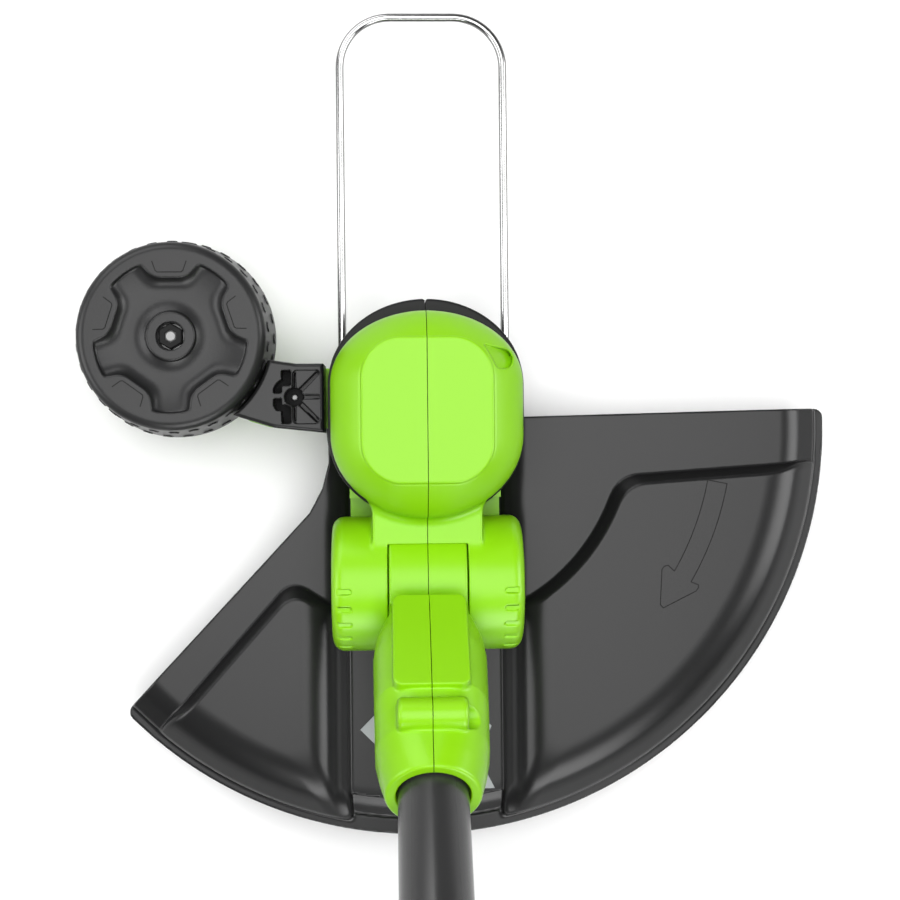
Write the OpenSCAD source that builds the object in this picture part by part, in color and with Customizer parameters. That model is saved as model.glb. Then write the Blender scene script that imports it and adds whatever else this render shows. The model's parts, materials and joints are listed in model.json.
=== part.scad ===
// Cordless string trimmer with an edging wheel, a wire plant guard and a tilting head.
// Origin: bottom centre of the bump cap. +Y points away from the user, +Z up, +X to the right.

/* [Head] */
// Angle of the shaft above the head's plane at rest
shaft_angle = 49.3; // [30:0.1:60]
// Half width of the motor dome
dome_half_w = 36.6; // [34:0.1:38]
// Height of the dome's flat top above the ground
dome_top = 112; // [108:1:116]
// Height of the joint between the dome and the bumper
dome_rim = 83; // [80:1:86]
// Distance of the pivot behind the motor axis
pivot_back = 60.5; // [58:0.5:64]
// Height of the pivot above the ground
pivot_z = 68; // [66:0.5:72]
// Radius of the pivot drum
drum_r = 26; // [24:0.5:27]
// Half width over the pivot ears
ear_half_w = 36.5; // [34:0.5:38]
// Half width of the knuckle between the ears
knuckle_half_w = 14.8; // [12:0.1:16]

/* [Guard] */
// Radius of the guard's outer lip
guard_r = 168; // [150:1:180]
// Height of the lip's underside
lip_z = 29; // [26:0.5:32]
// Height of the guard's base surface
base_z = 44; // [42:0.5:44]
// Height of the raised panels above the base
panel_rise = 7; // [4:0.5:9]
// Wall thickness of the guard
guard_wall = 2.5; // [2:0.1:3]
// Half width of the channel along the middle
channel_half_w = 30.8; // [30.5:0.1:32]

/* [Plant guard] */
// Diameter of the plant guard's wire
wire_d = 3.3; // [3:0.1:4]
// Distance from the middle to each leg
wire_half_w = 32.8; // [32.5:0.1:34]
// Height of the wire
wire_z = 46.5; // [46.5:0.1:47]
// Distance of the front bar ahead of the motor axis
wire_front = 165.4; // [140:1:180]

/* [Edging wheel] */
// Wheel centre to the left of the motor axis
wheel_left = 98; // [94:1:104]
// Wheel centre ahead of the motor axis
wheel_ahead = 36; // [30:1:40]
// Radius over the tread lugs
wheel_r = 38.5; // [34:0.5:39]
// Width of the wheel
wheel_w = 29; // [24:1:30]

/* [Shaft] */
// Diameter of the lower tube
tube_d = 24.5; // [22:0.5:26]
// End of the lower tube, measured along the shaft from the pivot
tube_end = 700; // [650:10:750]
// Start of the upper tube along the shaft
upper_start = 480; // [460:10:520]
// End of the upper tube along the shaft
upper_end = 960; // [940:10:980]
// Place of the front handle along the shaft
front_handle_at = 640; // [600:10:680]

/* [Hidden] */

$fn = 64;
hull_fn = 40;
green = "limegreen";
dark = "dimgray";
steel = "silver";

pivot_y = -pivot_back;
// Running clearance of a pin in its hole
run = 0.06;
// Clearance of a screw in its hole
fit = 0.02;
// Clearance between bodies that pass each other
gap = 0.4;

// Dome: straight sides between an elliptical front and an elliptical back
dome_front = 16;
dome_front_len = 27.8;
dome_back = -3;
dome_back_len = 31;
shell = 2.5;
neck_half_w = 20.8;
neck_top = 89;
neck_bottom = 46;
bumper_z = 50;
bumper_proud = 1.4;
bumper_nose = 4;
tongue_top = 39;
base_body_half_w = 30.3;
floor_top = 36.5;
lug_bottom = 43.6;
bearing_r = 9;
motor_r = 25;
motor_len = 48;
shaft_r = 4;
pocket_y = 25.5;
pocket_z = 101;

// Small step that keeps joined faces out of one plane
step = 0.05;

// Guard plan
guard_cx = -1.6;
skirt_r = 161;
plate_r = 150;
guard_right = 2.2;
guard_left = -137;
panel_inner_r = 82;
panel_outer_r = 152;
panel_corner = 6.5;
channel_floor = 2.3;
channel_wall = 2.2;

// Screws: shank for plastic, shank for metal, and the hole that takes a head
case_screw_r = 1.45;
base_screw_r = 1.5;
counterbore_r = 3.1;
mount_screw_r = 2;
blade_screw_r = 1.55;

// Motor housing openings
pocket_r = 4;
nose_notch = 2.8;
spigot_hole_r = 7.8;

// Pivot parts
bolt_r = 4;
nut_well_r = 8.5;
nut_face = 27;
button_bottom = -23;
button_r = 10;
button_face = 36.2;

// Spool, from the ground up
cap_r = 24;
cap_travel = 4;
cover_bottom = 5;
cup_bottom = 12;
cup_top = 33.5;
spool_r = 40;
eyelet_z = 27.6;
line_r = 0.9;
cup_wall = 3;
reel_r = 34;
reel_bottom = 14;
reel_top = 30.4;
line_turn = -10;

// Wheel
bracket_bottom = 37;
bracket_top = 43.5;
arm_top = 68;
arm_screw_spots = [[-48, 4], [-48, 22]];
arm_screw_r = 1.5;
socket_spot = [-50.5, 12.5];
wheel_x = -wheel_left;
wheel_y = wheel_ahead;
wheel_bottom = 45;
wheel_top = wheel_bottom + wheel_w;
wheel_face_r = wheel_r - 3;
sleeve_r = 5;
axle_r = 2.5;
lugs = 26;

// Plant guard
wire_corner = 20;
wire_end = 2;

// Shaft
tube_r = tube_d / 2;
tube_wall = 1.5;
coupling_start = 27.5;
coupling_end = 102;
coupling_half_w = 20.6;
tube_start = 60;
pad_half_w = 13.6;
pad_start = 30;
pad_len = 42;
pad_top = 24.5;
boss_s = 82;
boss_n = 19.5;
boss_r = 6;
boss_screw_n = 21;
low_screw_s = 50;
low_screw_n = -16;
collar_r = 16.6;
upper_in = tube_r + 0.3;
upper_out = upper_in + 1.6;
collar_len = 62;
lock_r = 20;
lever_n = -25;
lever_s = 36;
lever_pin_r = 1.6;
front_tilt_n = 30;
hinge_r = 14;
hinge_bolt_r = 4;
clamp_half_w = 17;
arm_root = [23.5, 26, 0];
arm_elbow = [62, 62, 0];
arm_shoulder = [66, 100, 0];
grip_bar_r = 8;
knob_r = 16.5;

// Rear handle, measured along the shaft
grip_start = upper_end - 50;
grip_end = grip_start + 140;
dock_end = grip_end + 66;
dock_half_w = 31;
grip_half_w = 17;
battery_len = 66;
handle_low = -68;
trigger_n = -12;
trigger_s = grip_start + 66;
trigger_pin_r = 2;
dock_high = 34;
rail_x = 19;
rail_low = handle_low + 8;
rail_len = 84;

module on_shaft(s = 0, n = 0)
    translate([0, pivot_y, pivot_z]) rotate([90 - shaft_angle, 0, 0]) translate([0, n, s]) children();

module right_half() intersection() {
    children();
    translate([0, -1500, -50]) cube([500, 3000, 2000]);
}

module left_half() intersection() {
    children();
    translate([-500, -1500, -50]) cube([500, 3000, 2000]);
}

module bar_x(r, x0, x1) translate([x0, 0, 0]) rotate([0, 90, 0]) cylinder(r = r, h = x1 - x0);

module screw(r, len, head_r, head_h) {
    cylinder(r = r, h = len);
    difference() {
        translate([0, 0, len]) cylinder(r = head_r, h = head_h);
        translate([0, 0, len + head_h / 2]) cylinder(r = head_r * 0.5, h = head_h, $fn = 6);
    }
}

module screw_x(r, x0, x1, head_r, head_h)
    translate([x0, 0, 0]) rotate([0, 90, 0]) screw(r, x1 - x0, head_r, head_h);

module coil(r, wire, h) difference() {
    cylinder(r = r + wire, h = h);
    translate([0, 0, -1]) cylinder(r = r, h = h + 2);
}

// ---- Motor housing ----
module dome_plan(inset = 0, nose = 0) hull() {
    translate([0, dome_front])
        scale([dome_half_w - inset, dome_front_len + nose - inset]) circle(r = 1, $fn = hull_fn);
    translate([0, dome_back])
        scale([dome_half_w - inset, dome_back_len - inset]) circle(r = 1, $fn = hull_fn);
}

module dome_slab(z, inset) translate([0, 0, z]) linear_extrude(0.2) dome_plan(inset);

module dome_body(inset, top) hull() {
    dome_slab(dome_rim, inset);
    dome_slab(top - 20, inset + 1.2);
    dome_slab(top - 8, inset + 5);
    dome_slab(top - 0.2, inset + 12);
}

// The neck stops just short of the dome's wall, which it meets in one moulding
module neck_body() translate([-neck_half_w, pivot_y - 2, neck_bottom]) {
    cube([2 * neck_half_w, 28.3, neck_top - neck_bottom]);
    cube([2 * neck_half_w, 33, dome_rim - 0.1 - neck_bottom]);
}

module ears() translate([0, pivot_y, pivot_z]) rotate([0, 90, 0]) {
    for (side = [0, 1]) mirror([0, 0, side]) rotate_extrude() polygon([
        [0, knuckle_half_w + gap], [drum_r, knuckle_half_w + gap], [drum_r, ear_half_w - 4],
        [drum_r - 1.2, ear_half_w - 1.2], [drum_r - 4, ear_half_w], [0, ear_half_w]
    ]);
}

module dome_shell() difference() {
    dome_body(0, dome_top);
    translate([0, 0, -1]) dome_body(shell, dome_top - shell);
}

module yoke() difference() {
    union() {
        neck_body();
        ears();
    }
    translate([0, pivot_y, pivot_z]) {
        bar_x(drum_r + 0.7, -knuckle_half_w - gap, knuckle_half_w + gap);
        bar_x(bolt_r + run, -ear_half_w - 1, ear_half_w + 1);
        bar_x(button_r + 0.1, -ear_half_w - 1, button_bottom);
        bar_x(nut_well_r, nut_face, ear_half_w + 1);
    }
}

module motor_housing() difference() {
    dome_shell();
    translate([0, pocket_y, pocket_z]) bar_x(pocket_r, 20, 50);
}

module motor_housing_left() color(green) left_half() motor_housing();
module motor_housing_right() color(green) right_half() motor_housing();
module pivot_yoke_left() color(green) left_half() yoke();
module pivot_yoke_right() color(green) right_half() yoke();

module bumper() difference() {
    union() {
        difference() {
            translate([0, 0, bumper_z]) linear_extrude(dome_rim - bumper_z)
                dome_plan(-bumper_proud, bumper_nose);
            translate([0, 0, bumper_z + shell]) linear_extrude(dome_rim) dome_plan(shell);
        }
        for (p = base_screw_spots) translate([p[0], p[1], bumper_z]) cylinder(r = 3.4, h = 9);
    }
    for (p = base_screw_spots) translate([p[0], p[1], 40]) cylinder(r = base_screw_r + fit, h = 17);
    translate([-neck_half_w - 0.2, -70, 0]) cube([2 * neck_half_w + 0.4, 44, 120]);
    translate([0, 0, bumper_z - 1]) cylinder(r = motor_r + 1.5, h = 40);
    translate([0, dome_front + dome_front_len + bumper_nose + 1.8, 0])
        rotate([0, 0, 45]) translate([-nose_notch / 2, -nose_notch / 2, 0]) cube([nose_notch, nose_notch, 120]);
}

base_screw_spots = [[-22.5, -21.5], [22.5, -21.5], [-24, 22], [24, 22]];

module bumper_left() color(dark) left_half() bumper();
module bumper_right() color(dark) right_half() bumper();

module wire_lug(side) difference() {
    for (y = [6, 21]) translate([side > 0 ? base_body_half_w - 3 : -base_body_half_w - 6, y, lug_bottom])
        cube([9, 6, bumper_z - lug_bottom]);
    for_wire_legs(wire_d / 2 + run);
}

module for_wire_legs(r) for (side = [-1, 1])
    translate([side * wire_half_w, -10, wire_z]) rotate([-90, 0, 0]) cylinder(r = r, h = 60);

module housing_base() color(green) difference() {
    union() {
        translate([0, 0, floor_top]) linear_extrude(tongue_top - floor_top) {
            translate([-base_body_half_w, -86]) square([2 * base_body_half_w, 114]);
        }
        translate([0, 0, floor_top]) linear_extrude(bumper_z - floor_top) {
            translate([-base_body_half_w, -28]) square([2 * base_body_half_w, 56]);
            translate([0, 10]) circle(r = 27);
        }
        wire_lug(-1);
        wire_lug(1);
    }
    difference() {
        translate([0, 0, tongue_top + 0.1]) cylinder(r = 24, h = 20);
        translate([0, 0, tongue_top]) cylinder(r = bearing_r + 3, h = 6);
    }
    translate([0, 0, tongue_top + 0.1]) cylinder(r = bearing_r + fit, h = 20);
    cylinder(r = spigot_hole_r, h = 60);
    for_wire_legs(wire_d / 2 + run);
    for (p = base_screw_spots) translate([p[0], p[1], 30]) {
        cylinder(r = base_screw_r + fit, h = 24);
        cylinder(r = counterbore_r, h = 9.7);
    }
    for (p = screw_spots) translate([p[0], p[1], 30]) cylinder(r = mount_screw_r + fit, h = 12);
}

module housing_screws() color(steel) {
    translate([0, pocket_y, pocket_z]) screw_x(case_screw_r, -18, 22.5, 3.2, 2);
    for (p = base_screw_spots) translate([p[0], p[1], 56.6]) mirror([0, 0, 1])
        screw(base_screw_r, 17, 3, 1.6);
}

module motor_can() color(steel) difference() {
    union() {
        translate([0, 0, bumper_z]) cylinder(r = motor_r, h = motor_len);
        translate([0, 0, bumper_z + motor_len - 1]) cylinder(r = 9, h = 5);
    }
    translate([0, 0, 40]) cylinder(r = shaft_r + run, h = 55);
    for (a = [0 : 60 : 300]) rotate([0, 0, a]) translate([17, 0, bumper_z + motor_len - 4])
        cylinder(r = 3, h = 8);
}

module motor_bearing() color(steel) translate([0, 0, tongue_top + 0.1]) difference() {
    cylinder(r = bearing_r, h = 6);
    translate([0, 0, -1]) cylinder(r = shaft_r + run, h = 8);
}

// ---- Guard ----
module guard_outline(r) intersection() {
    translate([guard_cx, 0]) circle(r = r, $fn = 160);
    difference() {
        polygon([
            [200, 7.4], [channel_half_w + 6, 4.2], [channel_half_w, 4.2], [channel_half_w, -200],
            [-channel_half_w, -200], [-channel_half_w, -2], [-39, -2], [-39, -14], [-41.6, -24.2],
            [-46.8, -33.9], [-64.5, -52.9], [-164, -158.8], [-164, -250], [200, -250]
        ]);
        translate([-channel_half_w, -400]) square([2 * channel_half_w, 600]);
    }
}

// Raised panels: between two arcs, clear of the free edges and of the channel
module panel_plan(inset) {
    intersection() {
        difference() {
            translate([guard_cx, 0]) circle(r = panel_outer_r - inset, $fn = 160);
            circle(r = panel_inner_r + inset, $fn = 120);
        }
        union() {
            polygon([
                [channel_half_w + panel_corner + inset, -220],
                [channel_half_w + panel_corner + inset, -23 - inset],
                [76, -23 - inset], [200, -13.5 - inset], [220, -220]
            ]);
            polygon([
                [-channel_half_w - panel_corner - inset, -220],
                [-channel_half_w - panel_corner - inset, -60 - inset],
                [-51 + inset, -60 - inset], [-58.5 + inset * 0.3, -65.5 - inset],
                [-170 + inset * 0.3, -184 - inset], [-170, -240]
            ]);
        }
    }
}

module guard_rim(r_in, r_out, wall) polygon([
    [r_in - 2, base_z], [r_in, base_z], [r_in + 4.5, base_z - 0.8], [r_in + 8, base_z - 3],
    [r_in + 10.2, base_z - 6.5],
    [skirt_r, base_z - 9.5], [skirt_r, lip_z + wall], [r_out, lip_z + wall], [r_out, lip_z],
    [skirt_r - wall, lip_z], [skirt_r - wall, base_z - 9], [r_in + 8, base_z - wall - 3.5],
    [r_in + 4, base_z - wall - 0.8], [r_in - 2, base_z - wall]
]);

module guard() color(dark) difference() {
    union() {
        translate([0, 0, base_z - guard_wall + step]) linear_extrude(guard_wall - 2 * step)
            guard_outline(plate_r - 1);
        translate([0, 0, floor_top - channel_floor]) linear_extrude(channel_floor) intersection() {
            translate([guard_cx, 0]) circle(r = skirt_r - 1, $fn = 160);
            translate([-channel_half_w - 2, -200]) square([2 * channel_half_w + 4, 224]);
        }
        for (side = [0, 1]) mirror([side, 0, 0]) translate([0, 0, floor_top - channel_floor])
            linear_extrude(base_z - floor_top + channel_floor - 2 * step) intersection() {
                translate([side ? -guard_cx : guard_cx, 0]) circle(r = plate_r - 0.5, $fn = 160);
                translate([channel_half_w, -200]) square([channel_wall, side ? 198 : 204]);
            }
        translate([guard_cx, 0, 0]) rotate([0, 0, guard_left])
            rotate_extrude(angle = guard_right - guard_left, $fn = 160)
                guard_rim(plate_r, guard_r, guard_wall);
        translate([0, 0, base_z - guard_wall + 2 * step])
            linear_extrude(guard_wall + panel_rise - 2 * step) panel_plan(0);
    }
    translate([0, 0, lip_z]) linear_extrude(base_z + panel_rise - guard_wall - lip_z) panel_plan(guard_wall);
    translate([-ear_half_w - 0.8, pivot_y - 13, base_z - guard_wall - 1])
        cube([2 * ear_half_w + 1.6, 26, 20]);
    cylinder(r = 18, h = 60);
    for (p = screw_spots) translate([p[0], p[1], 30]) cylinder(r = 2.1, h = 10);
    for (y = blade_screw_y) translate([blade_x, y, lip_z - 1]) cylinder(r = blade_screw_r + fit, h = 6);
}
screw_spots = [[-22, -46], [22, -46], [-22, -74], [22, -74]];

module guard_screws() color(steel) {
    for (p = screw_spots) translate([p[0], p[1], tongue_top - 0.5]) mirror([0, 0, 1])
        screw(mount_screw_r, 5, 4, 2.2);
    for (y = blade_screw_y) translate([blade_x, y, lip_z + guard_wall]) mirror([0, 0, 1])
        screw(blade_screw_r, 3.5, 2.6, 1.4);
}
blade_screw_y = [-10, 0];
blade_x = guard_r - 6.5;

module line_blade() color(steel) difference() {
    translate([guard_r - 11, -14, lip_z - 4.2]) cube([7, 18, 4.2]);
    translate([guard_r - 9.5, -15, lip_z - 5]) cube([7, 20, 4]);
    for (y = blade_screw_y) translate([blade_x, y, lip_z - 6]) cylinder(r = blade_screw_r + fit, h = 8);
}

module label_plate() color("gainsboro") translate([0, 0, floor_top]) linear_extrude(0.5) polygon([
    [-27.3, -123.2], [0, -95.9], [26.5, -122.4], [20.5, -134], [27.6, -148], [-2.5, -148]
]);

// ---- Edging wheel ----
module wheel_bracket() color(green) difference() {
    translate([0, 0, bracket_bottom]) {
        linear_extrude(bracket_top - bracket_bottom) polygon([
            [-base_body_half_w, -1], [-64, -0.8], [-73, 0.3], [-80, 3], [-107, 25], [-93.5, 49.4], [-60, 28],
            [-base_body_half_w, 28]
        ]);
        translate([wheel_x, wheel_y, 0]) cylinder(r = 13.5, h = bracket_top - bracket_bottom);
    }
    translate([wheel_x, wheel_y, 30]) cylinder(r = axle_r + 0.05, h = 20);
    for (p = arm_screw_spots) translate([p[0], p[1], 30]) cylinder(r = arm_screw_r + 0.1, h = 20);
}

module wheel_arm() color(dark) difference() {
    translate([0, 0, bracket_top]) linear_extrude(arm_top - bracket_top) difference() {
        polygon([[-39.5, -1.7], [-59, 0.4], [-76, 5.3], [-76, 27.1], [-61.8, 27.1], [-50, 25], [-39.5, 25]]);
        translate([wheel_x, wheel_y]) circle(r = wheel_r + 0.8);
    }
    translate([socket_spot[0], socket_spot[1], arm_top - 10]) for (i = [0 : 5]) rotate([0, 0, 60 * i + 30])
        translate([5.2, 0, 0]) cylinder(r = 2, h = 12);
    for (p = arm_screw_spots) translate([p[0], p[1], 40]) cylinder(r = arm_screw_r + 0.1, h = 14);
}

module arm_screws() color(steel) for (p = arm_screw_spots)
    translate([p[0], p[1], bracket_bottom + 15]) mirror([0, 0, 1]) screw(arm_screw_r, 15, 3.2, 2);

module axle_bolt() color(steel) translate([wheel_x, wheel_y, 0]) {
    translate([0, 0, bracket_bottom - 3]) cylinder(r = 4.6, h = 3, $fn = 6);
    translate([0, 0, bracket_bottom - 0.5]) cylinder(r = axle_r, h = wheel_top - bracket_bottom - 1.5);
}

module axle_sleeve() color(steel) translate([wheel_x, wheel_y, bracket_top]) difference() {
    cylinder(r = sleeve_r, h = wheel_w - 4);
    translate([0, 0, -1]) cylinder(r = axle_r + 0.05, h = wheel_w);
}

module axle_nut() color(dark) translate([wheel_x, wheel_y, bracket_top + wheel_w - 4]) difference() {
    union() {
        cylinder(r = 7.5, h = 0.6);
        cylinder(r = 4.5, h = 4, $fn = 6);
    }
    translate([0, 0, -1]) cylinder(r = axle_r + 0.02, h = 8);
}

module wheel_hub() color(dark) translate([wheel_x, wheel_y, 0]) difference() {
    union() {
        translate([0, 0, wheel_top - 8]) cylinder(r = wheel_face_r - 0.5, h = 7);
        translate([0, 0, wheel_top - 8]) ring(wheel_face_r - 0.5, 24, 8);
        translate([0, 0, wheel_bottom]) cylinder(r = 10, h = wheel_w - 1);
        translate([0, 0, wheel_bottom]) ring(wheel_face_r - 0.5, wheel_face_r - 4, wheel_w - 2);
        for (i = [0 : 4]) rotate([0, 0, 72 * i + 18]) translate([9, -1.5, wheel_bottom + 1])
            cube([22, 3, wheel_w - 6]);
    }
    translate([0, 0, wheel_bottom - 1]) cylinder(r = sleeve_r + run, h = wheel_w - 3.5);
    translate([0, 0, wheel_top - 5.8]) cylinder(r = 7.8, h = 8);
}

module ring(r_out, r_in, h) difference() {
    cylinder(r = r_out, h = h);
    translate([0, 0, -1]) cylinder(r = r_in, h = h + 2);
}

module wheel_tyre() color(dark) translate([wheel_x, wheel_y, wheel_bottom]) {
    ring(wheel_face_r, wheel_face_r - 0.5, wheel_w);
    for (i = [0 : lugs - 1], row = [0, 1]) rotate([0, 0, 360 / lugs * (i + row / 2)])
        translate([wheel_face_r - 0.3, -2.6, row ? wheel_w / 2 + 0.5 : 0.5])
            cube([wheel_r - wheel_face_r, 5.2, wheel_w / 2 - 1]);
}

// ---- Plant guard ----
module plant_guard_wire() color(steel) translate([0, 0, wire_z]) {
    for (side = [-1, 1]) translate([side * wire_half_w, wire_end, 0]) rotate([-90, 0, 0])
        cylinder(r = wire_d / 2, h = wire_front - wire_corner - wire_end);
    for (side = [0, 1]) mirror([side, 0, 0])
        translate([wire_half_w - wire_corner, wire_front - wire_corner, 0])
            rotate_extrude(angle = 90) translate([wire_corner, 0]) circle(d = wire_d, $fn = 24);
    translate([-wire_half_w + wire_corner, wire_front, 0])
        rotate([0, 90, 0]) cylinder(r = wire_d / 2, h = 2 * (wire_half_w - wire_corner));
}

// ---- Pivot ----
module pivot_bolt() color(steel) translate([0, pivot_y, pivot_z]) {
    bar_x(bolt_r, -23.5, 31);
    bar_x(7, -25, -23);
}

module pivot_nut() color(steel) translate([0, pivot_y, pivot_z]) difference() {
    translate([nut_face, 0, 0]) rotate([0, 90, 0]) cylinder(r = 7.2, h = 5, $fn = 6);
    bar_x(bolt_r + 0.01, 20, 40);
}

module pivot_button() color(dark) translate([0, pivot_y, pivot_z]) difference() {
    bar_x(button_r, -button_face, -button_face + 5);
    translate([-button_face - 8.6, 0, 0]) sphere(r = 10);
}

module pivot_spring() color(steel) translate([-button_face + 5, pivot_y, pivot_z])
    rotate([0, 90, 0]) coil(4.6, 1.2, button_face - 30);

// ---- Spool ----
module motor_shaft() color(steel) {
    translate([0, 0, cup_top - 8]) cylinder(r = shaft_r, h = 68);
    translate([0, 0, cup_top - 8]) cylinder(r = 7, h = 3);
}

module spool_housing() color(dark) difference() {
    translate([0, 0, cup_bottom]) cylinder(r = spool_r, h = cup_top - cup_bottom);
    translate([0, 0, cup_bottom - 1]) cylinder(r = spool_r - cup_wall, h = cup_top - cup_bottom - 1.5);
    translate([0, 0, cup_bottom]) cylinder(r = shaft_r + fit, h = 40);
    for (a = [0, 180]) rotate([0, 0, a + line_turn]) translate([spool_r - 8, 0, eyelet_z])
        rotate([0, 90, 0]) cylinder(r = 2.6, h = 12);
    for (a = [15 : 30 : 345]) rotate([0, 0, a]) translate([spool_r + 1.2, 0, cup_bottom - 1])
        cylinder(r = 3, h = 11);
}

module spool_cover() color(dark) difference() {
    union() {
        translate([0, 0, cover_bottom]) cylinder(r = spool_r - 1, h = 3);
        translate([0, 0, cover_bottom]) ring(spool_r, spool_r - cup_wall, cup_bottom - cover_bottom);
    }
    translate([0, 0, -1]) cylinder(r = cap_r + 0.5, h = 20);
    for (a = [0, 180]) rotate([0, 0, a + 80]) translate([spool_r - 4, -7, 0]) cube([10, 14, 7]);
}

module line_reel() color("orange") difference() {
    union() {
        translate([0, 0, reel_bottom]) cylinder(r = reel_r, h = 1.6);
        translate([0, 0, reel_top - 1.4]) cylinder(r = reel_r, h = 1.4);
        translate([0, 0, reel_bottom]) cylinder(r = 14, h = reel_top - reel_bottom);
    }
    translate([0, 0, 10]) cylinder(r = 11, h = 14);
    translate([0, 0, 10]) cylinder(r = 7.1, h = 30);
}

module eyelets() color(steel) for (a = [0, 180]) rotate([0, 0, a + line_turn])
    translate([spool_r - 3.2, 0, eyelet_z]) rotate([0, 90, 0]) difference() {
        union() {
            cylinder(r = 2.58, h = 3.4);
            translate([0, 0, 3.2]) cylinder(r = 3.6, h = 1);
        }
        translate([0, 0, -1]) cylinder(r = line_r + 0.3, h = 8);
    }

module cutting_line() color("yellowgreen") {
    translate([0, 0, 15.8]) ring(reel_r - 4, 14.2, 13);
    for (a = [0, 180]) rotate([0, 0, a + line_turn]) translate([28.5, 0, eyelet_z])
        rotate([0, 90, 0]) cylinder(r = line_r, h = 23, $fn = 16);
}

module bump_cap() color(dark) difference() {
    union() {
        rotate_extrude() polygon([[0, 0], [15, 0], [20, 1.2], [23, 4], [cap_r, 7], [cap_r, 9.5], [0, 9.5]]);
        translate([0, 0, 9]) cylinder(r = 10.5, h = 4);
    }
    translate([0, 0, 6]) cylinder(r = 7.5, h = 10);
    for (a = [0 : 45 : 315]) rotate([0, 0, a]) translate([cap_r + 0.6, 0, 3]) cylinder(r = 2.2, h = 12);
}

module bump_spring() color(steel) translate([0, 0, 6]) coil(5.6, 1.2, 19.3);

// ---- Coupling and tubes, in the shaft's own frame ----
module coupling() on_shaft() difference() {
    union() {
        bar_x(drum_r, -knuckle_half_w, knuckle_half_w);
        translate([-knuckle_half_w, -13, 18]) cube([2 * knuckle_half_w, 28, 14]);
        hull() {
            translate([0, 0, coupling_start]) rounded_block(coupling_half_w, 19.5, 8);
            translate([0, 0, 86]) rounded_block(coupling_half_w - 1.5, 18, 10);
            translate([0, 0, coupling_end - 6]) cylinder(r = collar_r, h = 6, $fn = hull_fn);
        }
        translate([-pad_half_w, 15, pad_start]) cube([2 * pad_half_w, pad_top - 15, pad_len]);
        translate([0, boss_n, boss_s]) bar_x(boss_r, -12.8, 12.8);
    }
    bar_x(bolt_r + run, -30, 30);
    translate([0, 0, tube_start]) cylinder(r = tube_r + fit, h = 60);
    translate([0, 0, -40]) cylinder(r = 5, h = 110);
    translate([0, boss_screw_n, boss_s]) {
        bar_x(counterbore_r + 0.1, 9, 20);
        bar_x(case_screw_r + fit, -9, 10);
    }
    translate([0, low_screw_n, low_screw_s]) {
        bar_x(case_screw_r + fit, -12, 14);
        bar_x(counterbore_r + 0.1, 13, 30);
    }
}

module rounded_block(half_w, half_d, r) for (x = [-1, 1], y = [-1, 1])
    translate([x * (half_w - r), y * (half_d - r), 0]) cylinder(r = r, h = 1, $fn = 24);

module coupling_left() color(green) left_half() coupling();
module coupling_right() color(green) right_half() coupling();

module coupling_screws() color(steel) on_shaft() {
    translate([0, boss_screw_n, boss_s]) screw_x(case_screw_r, -8, 9, 2.9, 1.8);
    translate([0, low_screw_n, low_screw_s]) screw_x(case_screw_r, -11, 13, 2.9, 1.8);
}

module lower_tube() color(dark) on_shaft(tube_start) difference() {
    cylinder(r = tube_r, h = tube_end - tube_start);
    translate([0, 0, -1]) cylinder(r = tube_r - tube_wall, h = tube_end);
}

module shaft_cable() color("black") on_shaft(tube_start + 2) cylinder(r = 3.5, h = tube_end - 90, $fn = 16);

module upper_tube() color(dark) on_shaft(upper_start) difference() {
    cylinder(r = upper_out, h = upper_end - upper_start);
    translate([0, 0, -1]) cylinder(r = upper_in, h = upper_end - upper_start + 2);
}

module lock_collar() color(dark) on_shaft(upper_start - 22) difference() {
    union() {
        cylinder(r = lock_r, h = collar_len);
        translate([-7, -29, 16]) cube([14, 22, 30]);
    }
    translate([0, 0, -1]) cylinder(r = upper_in, h = 30);
    translate([0, 0, 21.6]) cylinder(r = upper_out + 0.08, h = collar_len);
    translate([-4.4, -30, 14]) cube([8.8, 10, 34]);
    translate([0, lever_n, lever_s]) bar_x(lever_pin_r + run, -10, 10);
}

module lever_pin() color(steel) on_shaft(upper_start - 22) translate([0, lever_n, lever_s])
    bar_x(lever_pin_r, -7.5, 7.5);

module lock_lever() color(green) on_shaft(upper_start - 22) difference() {
    union() {
        translate([0, lever_n, lever_s]) bar_x(4, -4.1, 4.1);
        translate([-4.1, -29, 4]) cube([8.2, 5, 32]);
        translate([-8, -32, -10]) cube([16, 5, 24]);
    }
    translate([0, lever_n, lever_s]) bar_x(lever_pin_r + run, -10, 10);
}

// ---- Front handle ----
module front_handle_clamp() color(dark) on_shaft(front_handle_at) difference() {
    union() {
        translate([0, 0, -20]) cylinder(r = 20, h = 40);
        translate([-clamp_half_w, 0, -hinge_r]) cube([2 * clamp_half_w, 34, 2 * hinge_r]);
        translate([0, front_tilt_n, 0]) bar_x(hinge_r, -clamp_half_w, clamp_half_w);
    }
    translate([0, 0, -30]) cylinder(r = upper_out + 0.01, h = 60);
    translate([0, front_tilt_n, 0]) bar_x(hinge_bolt_r, -20, 20);
}

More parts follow.
